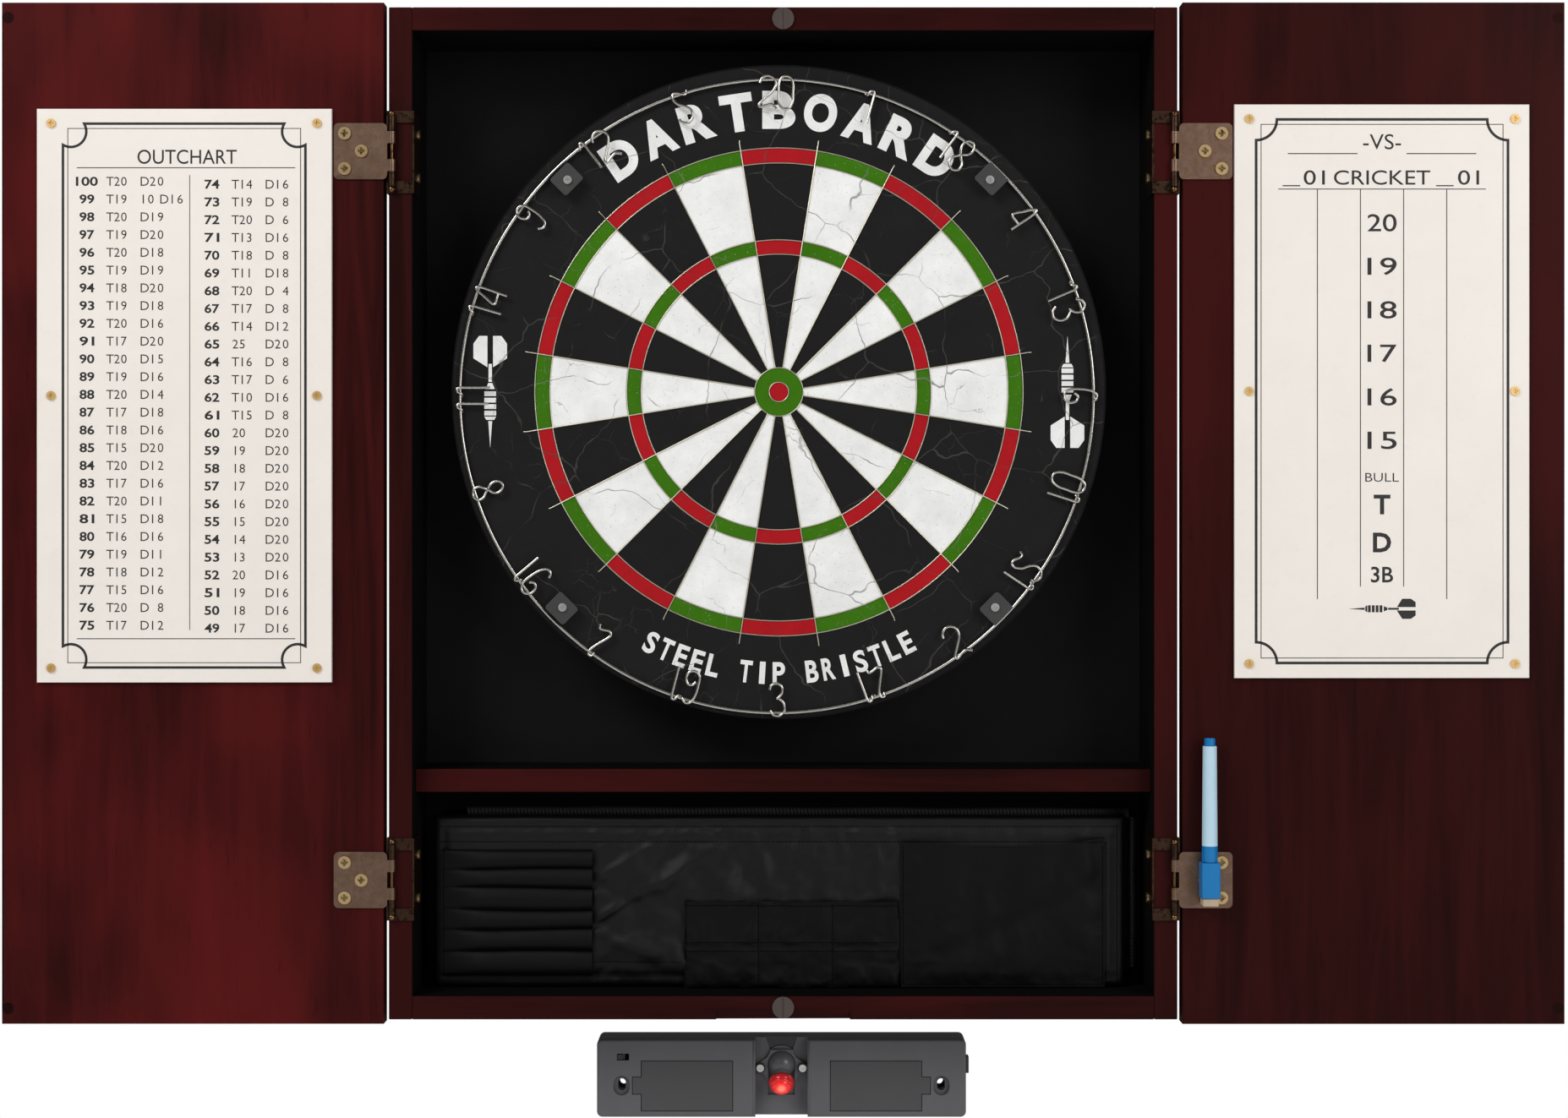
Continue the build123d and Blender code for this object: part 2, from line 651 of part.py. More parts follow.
with BuildPart() as backing_board:
    rod((BOARD_X, BOARD_BACK, 0), (BOARD_X, BACKING_FRONT, 0), BOARD_RADIUS - RIM_SHEET)
    rod(
        (BOARD_X, BOARD_BACK, 0),
        (BOARD_X, BACKING_FRONT + 0.5, 0),
        SHANK_RADIUS + SWIVEL_FIT,
        Mode.SUBTRACT,
    )

with BuildPart() as sisal_disc:
    rod((BOARD_X, BACKING_FRONT, 0), (BOARD_X, BOARD_FRONT, 0), BOARD_RADIUS - RIM_SHEET)
    for angle, reach in CLIP_SPOTS:
        x, z = reach_point(reach, angle)
        rod((x, BOARD_FRONT + 9, z), (x, BOARD_FRONT, z), CLIP_SCREW_RADIUS, Mode.SUBTRACT)

with BuildPart() as rim_band:
    rod((BOARD_X, BOARD_BACK - 2, 0), (BOARD_X, RIM_FRONT, 0), BOARD_RADIUS)
    rod((BOARD_X, BOARD_BACK - 2, 0), (BOARD_X, RIM_FRONT, 0), BOARD_RADIUS - RIM_SHEET,
        Mode.SUBTRACT)

with BuildPart() as board_spacers:
    for angle in (90.0, 210.0, 330.0):
        x, z = reach_point(SPACER_REACH, angle)
        rod((x, ORGANIZER_BACK, z), (x, BOARD_BACK, z), SPACER_RADIUS)

def hoop(centre, radius, width):
    """A closed round stroke of a given width, in the sketch being built."""
    with BuildSketch(mode=Mode.PRIVATE) as band:
        with Locations(centre):
            Circle(radius + width / 2)
            Circle(radius - width / 2, mode=Mode.SUBTRACT)
    add(band.sketch)


with BuildPart() as spider_wires:
    with BuildSketch(front_plane(BOARD_FRONT, BOARD_X)):
        spoke_start = WIRE_RINGS[4]
        spoke_length = WIRE_REACH - spoke_start
        spoke_middle = (WIRE_REACH + spoke_start) / 2
        with PolarLocations(spoke_middle, SECTORS, start_angle=SECTOR_STEP / 2):
            Rectangle(spoke_length, WIRE)
        for ring in WIRE_RINGS:
            hoop((0, 0), ring, WIRE)
    extrude(amount=WIRE_HEIGHT)


def stroke(start, end):
    """A straight stroke of a wire digit, with round ends."""
    run = Vector(*end) - Vector(*start)
    angle = math.degrees(math.atan2(run.Y, run.X))
    with Locations((Vector(*start) + Vector(*end)) / 2):
        SlotCenterToCenter(run.length, DIGIT_WIRE, rotation=angle)


def bow(centre, radius, start_angle, turn):
    """A round stroke of a wire digit, with round ends: a hoop less its gap."""
    def around(reach, angle):
        a = math.radians(angle)
        return centre[0] + reach * math.cos(a), centre[1] + reach * math.sin(a)

    end_angle = start_angle + turn
    gap_steps = 6
    gap = [
        around(3 * radius, end_angle + (360 - turn) * step / gap_steps)
        for step in range(gap_steps + 1)
    ]
    with BuildSketch(mode=Mode.PRIVATE) as band:
        hoop(centre, radius, DIGIT_WIRE)
        Polygon(centre, *gap, align=None, mode=Mode.SUBTRACT)
        with Locations(around(radius, start_angle), around(radius, end_angle)):
            Circle(DIGIT_WIRE / 2)
    add(band.sketch)


def digit(value):
    """One wire digit, 26 high and about 11 wide, about the origin of the sketch."""
    top = DIGIT_HALF_HEIGHT
    if value == 0:
        bow((0, top - 4.5), 4.5, 0, 180)
        bow((0, 4.5 - top), 4.5, 180, 180)
        stroke((-4.5, top - 4.5), (-4.5, 4.5 - top))
        stroke((4.5, top - 4.5), (4.5, 4.5 - top))
    elif value == 1:
        stroke((0, -top), (0, top))
        stroke((0.4, top - 0.6), (-3, top - 4.5))
    elif value == 2:
        bow((0, top - 4.5), 4.5, -30, 210)
        stroke((4, top - 6.2), (-4.6, 0.2 - top))
        stroke((-4.8, -top), (4.5, -top))
    elif value == 3:
        bow((0, 7.5), 5.5, -90, 250)
        bow((0, -5.5), 7.5, -160, 250)
    elif value == 4:
        stroke((2, -top), (2, top))
        stroke((2.4, top), (-5, -4))
        stroke((-5.6, -4), (5.5, -4))
    elif value == 5:
        stroke((4.5, top), (-4.6, top))
        stroke((-4, top), (-4, 1))
        bow((-0.5, -5.5), 7.5, -150, 268)
    elif value == 6:
        hoop((0, -7.5), 5.5, DIGIT_WIRE)
        stroke((-5.2, -6.5), (1.5, top))
    elif value == 7:
        stroke((-4.5, top), (5, top))
        stroke((4.5, top), (-2, -top))
    elif value == 8:
        hoop((0, 6.8), 5.4, DIGIT_WIRE)
        hoop((0, -5.6), 7.4, DIGIT_WIRE)
    else:
        hoop((0, 7.5), 5.5, DIGIT_WIRE)
        stroke((5.2, 6.5), (-1.5, -top))


with BuildPart() as number_ring:
    with Locations(front_plane(NUMBER_RING_Y, NUMBER_RING_X, NUMBER_RING_Z)):
        Torus(NUMBER_RING_RADIUS, NUMBER_RING_WIRE)
    for place, number in enumerate(SECTOR_NUMBERS):
        angle = 90.0 - SECTOR_STEP * place
        # the lower half of the ring reads the right way up too
        lower_half = math.sin(math.radians(angle)) < -0.01
        turn = math.radians(angle + 90.0 if lower_half else angle - 90.0)
        reach = NUMBER_RING_RADIUS - DIGIT_INSET
        x = NUMBER_RING_X + reach * math.cos(math.radians(angle))
        z = NUMBER_RING_Z + reach * math.sin(math.radians(angle))
        text = str(number)
        for index, character in enumerate(text):
            shift = (index - (len(text) - 1) / 2) * DIGIT_PITCH
            across = Vector(math.cos(turn), 0, math.sin(turn))
            spot = Vector(x, DIGIT_BACK, z) + across * shift
            with BuildSketch(Plane(origin=spot, x_dir=across, z_dir=(0, -1, 0))):
                digit(int(character))
            extrude(amount=DIGIT_DEPTH)


def ring_clip(angle, reach):
    """A swivelling clip: a round foot on the board and a plate over the ring wire."""
    x, z = reach_point(reach, angle)
    outward = Vector(math.cos(math.radians(angle)), 0, math.sin(math.radians(angle)))
    plate = Plane(
        origin=(x, CLIP_PLATE_BACK, z), x_dir=tuple(outward), z_dir=(0, -1, 0)
    )
    rod((x, CLIP_BACK, z), (x, CLIP_PLATE_BACK, z), CLIP_FOOT)
    with BuildSketch(plate) as outline:
        with Locations(((CLIP_OUTWARD - CLIP_INWARD) / 2, 0)):
            RectangleRounded(CLIP_OUTWARD + CLIP_INWARD, CLIP_WIDTH, 2.0)
    extrude(outline.sketch, amount=CLIP_PLATE_BACK - CLIP_PLATE_FRONT)
    rod((x, CLIP_BACK, z), (x, CLIP_PLATE_FRONT, z), CLIP_SCREW_RADIUS + SWIVEL_FIT, Mode.SUBTRACT)


with BuildPart() as ring_clip_1:
    ring_clip(*CLIP_SPOTS[0])

with BuildPart() as ring_clip_2:
    ring_clip(*CLIP_SPOTS[1])

with BuildPart() as ring_clip_3:
    ring_clip(*CLIP_SPOTS[2])

with BuildPart() as ring_clip_4:
    ring_clip(*CLIP_SPOTS[3])

with BuildPart() as clip_screws:
    for angle, reach in CLIP_SPOTS:
        x, z = reach_point(reach, angle)
        rod((x, BOARD_FRONT + 9, z), (x, CLIP_PLATE_FRONT - 0.2, z), CLIP_SCREW_RADIUS)
        rod((x, CLIP_PLATE_FRONT - 0.2, z), (x, CLIP_PLATE_FRONT - 1.4, z), 2.9)
        cross_slot(x, z, CLIP_PLATE_FRONT - 1.4, 1.7, 0.7, 0.7)

# ============================ organiser ====================================
with BuildPart() as organizer_pad:
    block(
        (ORGANIZER_LEFT, ORGANIZER_FRONT, ORGANIZER_BOTTOM),
        (ORGANIZER_RIGHT, ORGANIZER_BACK, ORGANIZER_TOP),
    )
    fillet(organizer_pad.edges().filter_by(Axis.Y), 3.0)

SLEEVE_HEIGHT = (SLEEVES_TOP - SLEEVES_BOTTOM) / SLEEVE_COUNT
POCKET_FRONT = ORGANIZER_FRONT - POCKET_PROUD

with BuildPart() as organizer_dart_sleeves:
    # six sleeves lie over one another like slates, each a wedge that gapes at its top
    for row in range(SLEEVE_COUNT):
        low_z = SLEEVES_BOTTOM + row * SLEEVE_HEIGHT
        high_z = low_z + SLEEVE_HEIGHT
        with BuildSketch(Plane.YZ.offset(SLEEVES_LEFT)):
            with BuildLine():
                Polyline(
                    (ORGANIZER_FRONT, low_z),
                    (ORGANIZER_FRONT - 2.0, low_z),
                    (POCKET_FRONT, high_z),
                    (ORGANIZER_FRONT, high_z),
                    close=True,
                )
            make_face()
        extrude(amount=SLEEVES_RIGHT - SLEEVES_LEFT)

SMALL_WIDTH = (SMALL_RIGHT - SMALL_LEFT) / SMALL_COLUMNS

with BuildPart() as organizer_small_pockets:
    # two rows of three pockets, the lower row in front of the upper
    block(
        (SMALL_LEFT, ORGANIZER_FRONT - 2.5, SMALL_BOTTOM),
        (SMALL_RIGHT, ORGANIZER_FRONT, SMALL_TOP),
    )
    block(
        (SMALL_LEFT, ORGANIZER_FRONT - 4.5, SMALL_BOTTOM),
        (SMALL_RIGHT, ORGANIZER_FRONT - 2.5, (SMALL_TOP + SMALL_BOTTOM) / 2),
    )
    # the sewn lines between the pockets
    for column in range(1, SMALL_COLUMNS):
        x = SMALL_LEFT + column * SMALL_WIDTH
        block(
            (x - 0.6, ORGANIZER_FRONT - 4.5, SMALL_BOTTOM),
            (x + 0.6, ORGANIZER_FRONT - 1.2, SMALL_TOP),
            Mode.SUBTRACT,
        )

LARGE_DEPTH = LARGE_WALL + LARGE_GAP + LARGE_WALL

with BuildPart() as organizer_large_pocket:
    block(
        (LARGE_LEFT, ORGANIZER_FRONT - LARGE_DEPTH, LARGE_BOTTOM),
        (LARGE_RIGHT, ORGANIZER_FRONT, LARGE_TOP),
    )
    block(
        (LARGE_LEFT + LARGE_WALL, ORGANIZER_FRONT - LARGE_WALL - LARGE_GAP,
         LARGE_BOTTOM + LARGE_WALL),
        (LARGE_RIGHT - LARGE_WALL, ORGANIZER_FRONT - LARGE_WALL, LARGE_TOP),
        Mode.SUBTRACT,
    )

# ============================ laser throw-line unit ========================
LASER_MIDDLE = (LASER_TOP + LASER_BOTTOM) / 2
LASER_HEIGHT = LASER_TOP - LASER_BOTTOM
BALL_CENTRE = Vector(LASER_X, BALL_Y, BALL_Z)


def aim_point(distance):
    """A point on the laser's aiming axis, measured from the ball's centre."""
    return tuple(BALL_CENTRE + AIM * distance)


def slot_outline(width, height):
    """An upright racetrack in the sketch being built."""
    SlotOverall(height, width, rotation=90)


def cut_mount_slots(depth, amount):
    """The two screw slots of the unit, cut from one depth towards the front."""
    for side in (-1, 1):
        with BuildSketch(front_plane(depth, LASER_X + side * SLOT_X, SLOT_Z)) as outline:
            slot_outline(SLOT_WIDTH, SLOT_HEIGHT)
        extrude(outline.sketch, amount=amount, mode=Mode.SUBTRACT)


with BuildPart() as laser_rear_shell:
    with BuildSketch(front_plane(0, LASER_X, LASER_MIDDLE)):
        RectangleRounded(2 * LASER_HALF, LASER_HEIGHT, 4.0)
    extrude(amount=-LASER_SPLIT)
    with BuildSketch(front_plane(-LASER_WALL, LASER_X, LASER_MIDDLE)):
        RectangleRounded(2 * (LASER_HALF - LASER_WALL), LASER_HEIGHT - 2 * LASER_WALL, 2.5)
    extrude(amount=-LASER_SPLIT - LASER_WALL, mode=Mode.SUBTRACT)
    # the two cradles under the cells
    for side in (-1, 1):
        middle = LASER_X + side * (BATTERY_DOOR_INNER + BATTERY_DOOR_OUTER) / 2
        block(
            (middle - 27, BATTERY_Y + BATTERY_RADIUS, BATTERY_ZS[1] - 6),
            (middle + 27, -LASER_WALL, BATTERY_ZS[0] + 6),
        )
    cut_mount_slots(0, -LASER_SPLIT)

with BuildPart() as laser_front_shell:
    with BuildSketch(front_plane(LASER_SPLIT, LASER_X, LASER_MIDDLE)):
        RectangleRounded(2 * LASER_HALF, LASER_HEIGHT, 4.0)
    extrude(amount=LASER_SPLIT - LASER_FRONT)
    fillet(laser_front_shell.edges().group_by(Axis.Y)[0], 1.8)
    inner_front = LASER_FRONT + LASER_WALL
    wall_z = (LASER_BOTTOM + LASER_WALL, LASER_TOP - LASER_WALL)
    for side in (-1, 1):
        low_x, high_x = sorted(
            (side * (CHANNEL_HALF + LASER_WALL), side * (LASER_HALF - LASER_WALL))
        )
        block((LASER_X + low_x, inner_front, wall_z[0]), (LASER_X + high_x, LASER_SPLIT, wall_z[1]),
              Mode.SUBTRACT)
    # the middle channel: cut from the front, hollow behind its floor
    block((LASER_X - CHANNEL_HALF, LASER_FRONT, LASER_BOTTOM),
          (LASER_X + CHANNEL_HALF, CHANNEL_FLOOR, LASER_TOP), Mode.SUBTRACT)
    block((LASER_X - CHANNEL_HALF, CHANNEL_FLOOR + CHANNEL_WALL, wall_z[0]),
          (LASER_X + CHANNEL_HALF, LASER_SPLIT, wall_z[1]), Mode.SUBTRACT)
    # the sight notch above the ball
    with BuildSketch(front_plane(CHANNEL_FLOOR + 1.5, LASER_X, 0)):
        with BuildLine():
            Polyline((-11, LASER_TOP), (11, LASER_TOP), (8, LASER_TOP - 9), (-8, LASER_TOP - 9),
                     close=True)
        make_face()
    extrude(amount=1.5, mode=Mode.SUBTRACT)
    # the cup that the ball turns in
    rod((LASER_X, CHANNEL_FLOOR, BALL_Z), (LASER_X, -6, BALL_Z), 13)
    ball(tuple(BALL_CENTRE), BALL_RADIUS + BALL_FIT, Mode.SUBTRACT)
    # the neck swings down in this relief of the channel floor
    block((LASER_X - 9.5, LASER_FRONT, BALL_Z - 22), (LASER_X + 9.5, CHANNEL_FLOOR + 2, BALL_Z),
          Mode.SUBTRACT)
    # the two screw bosses reach back to the rear shell
    for side in (-1, 1):
        boss_x = LASER_X + side * SLOT_X
        with BuildSketch(front_plane(LASER_SPLIT, boss_x, SLOT_Z)):
            slot_outline(SLOT_RECESS_WIDTH + 2 * SLOT_BOSS_WALL,
                         SLOT_RECESS_HEIGHT + 2 * SLOT_BOSS_WALL)
        extrude(amount=LASER_SPLIT - LASER_FRONT - 0.5)
        with BuildSketch(front_plane(SLOT_RECESS_FLOOR, boss_x, SLOT_Z)):
            slot_outline(SLOT_RECESS_WIDTH, SLOT_RECESS_HEIGHT)
        extrude(amount=SLOT_RECESS_FLOOR - LASER_FRONT + 1, mode=Mode.SUBTRACT)
    cut_mount_slots(LASER_SPLIT, LASER_SPLIT - LASER_FRONT)
    # the battery openings, with a notch for each latch
    for side in (-1, 1):
        low_x, high_x = sorted(
            (side * (BATTERY_DOOR_INNER - DOOR_GAP), side * (BATTERY_DOOR_OUTER + DOOR_GAP))
        )
        block(
            (LASER_X + low_x, LASER_FRONT, BATTERY_DOOR_BOTTOM - DOOR_GAP),
            (LASER_X + high_x, inner_front, BATTERY_DOOR_TOP + DOOR_GAP),
            Mode.SUBTRACT,
        )
        low_x, high_x = sorted(
            (side * BATTERY_DOOR_OUTER, side * (BATTERY_DOOR_OUTER + BATTERY_LATCH + DOOR_GAP))
        )
        block(
            (LASER_X + low_x, LASER_FRONT, SLOT_Z - BATTERY_LATCH_HALF - DOOR_GAP),
            (LASER_X + high_x, inner_front, SLOT_Z + BATTERY_LATCH_HALF + DOOR_GAP),
            Mode.SUBTRACT,
        )
    # the switch window and the button hole
    block(
        (LASER_X + SWITCH_X - SWITCH_HALF, LASER_FRONT, SWITCH_Z - SWITCH_HEIGHT / 2),
        (LASER_X + SWITCH_X + SWITCH_HALF, inner_front, SWITCH_Z + SWITCH_HEIGHT / 2),
        Mode.SUBTRACT,
    )
    block(
        (LASER_X + LASER_HALF - LASER_WALL, BUTTON_Y - BUTTON_DEPTH / 2,
         BUTTON_Z - BUTTON_HEIGHT / 2),
        (LASER_X + LASER_HALF, BUTTON_Y + BUTTON_DEPTH / 2, BUTTON_Z + BUTTON_HEIGHT / 2),
        Mode.SUBTRACT,
    )
    # tapped holes for the retainer screws
    for side in (-1, 1):
        x = LASER_X + side * RETAINER_SCREW_X
        rod((x, CHANNEL_FLOOR + 2.5, RETAINER_SCREW_Z), (x, CHANNEL_FLOOR, RETAINER_SCREW_Z), 1.0,
            Mode.SUBTRACT)

with BuildPart() as ball_retainer:
    block((LASER_X - 18, RETAINER_FRONT, BALL_Z - 7), (LASER_X + 18, CHANNEL_FLOOR, BALL_Z + 12.5))
    ball(tuple(BALL_CENTRE), BALL_RADIUS + BALL_FIT, Mode.SUBTRACT)
    # open below, for the neck to swing
    block((LASER_X - 8.5, RETAINER_FRONT, BALL_Z - 7), (LASER_X + 8.5, CHANNEL_FLOOR, BALL_Z + 8),
          Mode.SUBTRACT)
    for side in (-1, 1):
        x = LASER_X + side * RETAINER_SCREW_X
        rod((x, CHANNEL_FLOOR, RETAINER_SCREW_Z), (x, RETAINER_FRONT, RETAINER_SCREW_Z), 1.0,
            Mode.SUBTRACT)

with BuildPart() as retainer_screws:
    for side in (-1, 1):
        x = LASER_X + side * RETAINER_SCREW_X
        front_screw(x, RETAINER_SCREW_Z, RETAINER_FRONT, CHANNEL_FLOOR + 2.5, 1.0, 2.6, 1.2)

with BuildPart() as aiming_ball:
    ball(tuple(BALL_CENTRE), BALL_RADIUS)
    rod(aim_point(5), aim_point(NECK_END), NECK_RADIUS)
    rod(aim_point(-3), aim_point(NECK_END), SPIGOT_RADIUS + MARKER_FIT, Mode.SUBTRACT)

with BuildPart() as laser_module:
    rod(aim_point(-3), aim_point(5), SPIGOT_RADIUS + MARKER_FIT)

with BuildPart() as laser_lens:
    rod(aim_point(5.3), aim_point(LENS_START), SPIGOT_RADIUS)
    rod(aim_point(LENS_START), aim_point(LENS_START + LENS_LENGTH), LENS_RADIUS)
    # the dome is a cap of a larger ball
    dome_radius = (LENS_RADIUS ** 2 + LENS_DOME ** 2) / (2 * LENS_DOME)
    dome_plane = Plane(origin=aim_point(LENS_START + LENS_LENGTH), z_dir=AIM, x_dir=(1, 0, 0))
    with BuildSketch(Plane(origin=dome_plane.origin, x_dir=(1, 0, 0), z_dir=-dome_plane.y_dir)):
        with BuildLine():
            Line((0, 0), (LENS_RADIUS, 0))
            ThreePointArc(
                (LENS_RADIUS, 0),
                (dome_radius * math.sin(math.asin(LENS_RADIUS / dome_radius) / 2),
                 dome_radius * math.cos(math.asin(LENS_RADIUS / dome_radius) / 2)
                 - dome_radius + LENS_DOME),
                (0, LENS_DOME),
            )
            Line((0, LENS_DOME), (0, 0))
        make_face()
    revolve(axis=Axis(dome_plane.origin, AIM))

with BuildPart() as circuit_board:
    block((LASER_X - 30, -5.2, LASER_BOTTOM + 4), (LASER_X + 30, -3.6, LASER_TOP - 4))

with BuildPart() as batteries:
    for side in (-1, 1):
        middle = LASER_X + side * (BATTERY_DOOR_INNER + BATTERY_DOOR_OUTER) / 2
        cell_tail = middle - BATTERY_LENGTH / 2
        cell_tip = middle + BATTERY_LENGTH / 2
        cell_shoulder = cell_tip - CELL_BUTTON_RISE
        for z in BATTERY_ZS:
            rod((cell_tail, BATTERY_Y, z), (cell_shoulder, BATTERY_Y, z), BATTERY_RADIUS)
            rod((cell_shoulder, BATTERY_Y, z), (cell_tip, BATTERY_Y, z), CELL_BUTTON_RADIUS)


def battery_door(side):
    """A flush lid over two cells, with a raised latch at its outer edge."""
    low_x, high_x = sorted((side * BATTERY_DOOR_INNER, side * BATTERY_DOOR_OUTER))
    block(
        (LASER_X + low_x, LASER_FRONT, BATTERY_DOOR_BOTTOM),
        (LASER_X + high_x, LASER_FRONT + LASER_WALL, BATTERY_DOOR_TOP),
    )
    low_x, high_x = sorted(
        (side * BATTERY_DOOR_OUTER, side * (BATTERY_DOOR_OUTER + BATTERY_LATCH))
    )
    block(
        (LASER_X + low_x, LASER_FRONT, SLOT_Z - BATTERY_LATCH_HALF),
        (LASER_X + high_x, LASER_FRONT + LASER_WALL, SLOT_Z + BATTERY_LATCH_HALF),
    )


with BuildPart() as battery_door_left:
    battery_door(-1)

with BuildPart() as battery_door_right:
    battery_door(1)

with BuildPart() as mode_switch:
    knob_z = (SWITCH_Z - SWITCH_HEIGHT / 2 + 0.5, SWITCH_Z + SWITCH_HEIGHT / 2 - 0.5)
    knob_x = LASER_X + SWITCH_X - SWITCH_HALF + 0.2
    block((knob_x, LASER_FRONT + 0.4, knob_z[0]), (knob_x + SWITCH_KNOB, -24, knob_z[1]))
    block((knob_x - 1.5, -25.6, SWITCH_Z - 3.4), (knob_x + SWITCH_KNOB + 1.5, -24, SWITCH_Z + 3.4))

with BuildPart() as power_button:
    gap = 0.3
    button_low = (LASER_X + LASER_HALF - LASER_WALL - 3.0, BUTTON_Y - BUTTON_DEPTH / 2 + gap,
                  BUTTON_Z - BUTTON_HEIGHT / 2 + gap)
    button_high = (LASER_X + LASER_HALF + BUTTON_PROUD, BUTTON_Y + BUTTON_DEPTH / 2 - gap,
                   BUTTON_Z + BUTTON_HEIGHT / 2 - gap)
    block(button_low, button_high)

# ============================ the finished pieces ==========================
PIECES = {
    "side_panel_left": side_panel_left,
    "side_panel_right": side_panel_right,
    "top_panel": top_panel,
    "bottom_panel": bottom_panel,
    "divider_shelf": divider_shelf,
    "back_panel": back_panel,
    "board_bracket": board_bracket,
    "bracket_screws": bracket_screws,
    "hang_screw": hang_screw,
    "catch_housings": catch_housings,
    "catch_magnets": catch_magnets,
    "frame_leaves": frame_leaves,
    "frame_leaf_screws": frame_leaf_screws,
    "hinge_pins": hinge_pins,
    "left_door": left_door,
    "out_chart": out_chart,
    "out_chart_screws": out_chart_screws,
    "door_leaves_left": door_leaves_left,
    "door_leaf_screws_left": door_leaf_screws_left,
    "strikes_left": strikes_left,
    "right_door": right_door,
    "score_chart": score_chart,
    "score_chart_screws": score_chart_screws,
    "door_leaves_right": door_leaves_right,
    "door_leaf_screws_right": door_leaf_screws_right,
    "strikes_right": strikes_right,
    "marker_cap": marker_cap,
    "marker_eraser": marker_eraser,
    "marker_collar": marker_collar,
    "marker_nib": marker_nib,
    "marker_barrel": marker_barrel,
    "marker_plug": marker_plug,
    "backing_board": backing_board,
    "sisal_disc": sisal_disc,
    "rim_band": rim_band,
    "board_spacers": board_spacers,
    "spider_wires": spider_wires,
    "number_ring": number_ring,
    "ring_clip_1": ring_clip_1,
    "ring_clip_2": ring_clip_2,
    "ring_clip_3": ring_clip_3,
    "ring_clip_4": ring_clip_4,
    "clip_screws": clip_screws,
    "organizer_pad": organizer_pad,
    "organizer_dart_sleeves": organizer_dart_sleeves,
    "organizer_small_pockets": organizer_small_pockets,
    "organizer_large_pocket": organizer_large_pocket,
    "laser_rear_shell": laser_rear_shell,
    "laser_front_shell": laser_front_shell,
    "ball_retainer": ball_retainer,
    "retainer_screws": retainer_screws,
    "aiming_ball": aiming_ball,
    "laser_module": laser_module,
    "laser_lens": laser_lens,
    "circuit_board": circuit_board,
    "batteries": batteries,
    "battery_door_left": battery_door_left,
    "battery_door_right": battery_door_right,
    "mode_switch": mode_switch,
    "power_button": power_button,
}

for node, piece in PIECES.items():
    piece.part.label = node
    export_step(piece.part, f"parts/{node}.step")
print(len(PIECES), "pieces")
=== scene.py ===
"""Looks of the dartboard cabinet: shapes, materials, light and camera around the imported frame."""

import json
import math
import random

import bmesh
import bpy
import numpy as np
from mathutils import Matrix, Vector, noise
from mathutils.bvhtree import BVHTree

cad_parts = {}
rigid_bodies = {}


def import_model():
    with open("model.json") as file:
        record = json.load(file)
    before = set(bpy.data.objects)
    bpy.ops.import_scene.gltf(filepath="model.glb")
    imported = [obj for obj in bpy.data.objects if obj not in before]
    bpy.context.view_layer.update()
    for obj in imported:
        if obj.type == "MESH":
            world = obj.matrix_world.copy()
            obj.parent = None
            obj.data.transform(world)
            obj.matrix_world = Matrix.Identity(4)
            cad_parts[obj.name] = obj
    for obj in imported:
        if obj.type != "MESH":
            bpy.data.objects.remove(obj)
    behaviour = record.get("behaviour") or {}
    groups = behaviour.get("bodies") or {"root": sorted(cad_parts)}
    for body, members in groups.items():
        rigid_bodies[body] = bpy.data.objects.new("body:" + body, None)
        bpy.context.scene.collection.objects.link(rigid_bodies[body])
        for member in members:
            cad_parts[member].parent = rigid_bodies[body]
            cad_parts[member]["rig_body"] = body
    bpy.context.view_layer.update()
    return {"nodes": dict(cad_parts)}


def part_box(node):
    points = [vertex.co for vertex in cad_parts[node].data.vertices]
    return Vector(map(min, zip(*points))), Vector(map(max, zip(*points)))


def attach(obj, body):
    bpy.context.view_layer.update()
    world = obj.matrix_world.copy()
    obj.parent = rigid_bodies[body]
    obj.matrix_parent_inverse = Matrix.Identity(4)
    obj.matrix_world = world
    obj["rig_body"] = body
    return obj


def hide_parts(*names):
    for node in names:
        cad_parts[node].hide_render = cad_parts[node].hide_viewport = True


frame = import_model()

MM = 0.001
nodes = frame["nodes"]

# the board's centre is left of the cabinet's middle
disc_low, disc_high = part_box("sisal_disc")
BOARD_X = (disc_low.x + disc_high.x) / 2
BOARD_FACE = disc_low.y
INNER_BULL = 6.8 * MM
OUTER_BULL = 16.9 * MM
TREBLE = (96.0 * MM, 106.0 * MM)
DOUBLE = (159.5 * MM, 170.0 * MM)
SECTORS = 20
SECTOR = 2 * math.pi / SECTORS


def linear(red, green, blue):
    """A colour given as it looks on a screen, from 0 to 255, in the shader's own units."""
    shares = [value / 255 for value in (red, green, blue)]
    return tuple(s / 12.92 if s <= 0.04045 else ((s + 0.055) / 1.055) ** 2.4 for s in shares) + (1.0,)


# ---------------------------------------------------------------- node materials


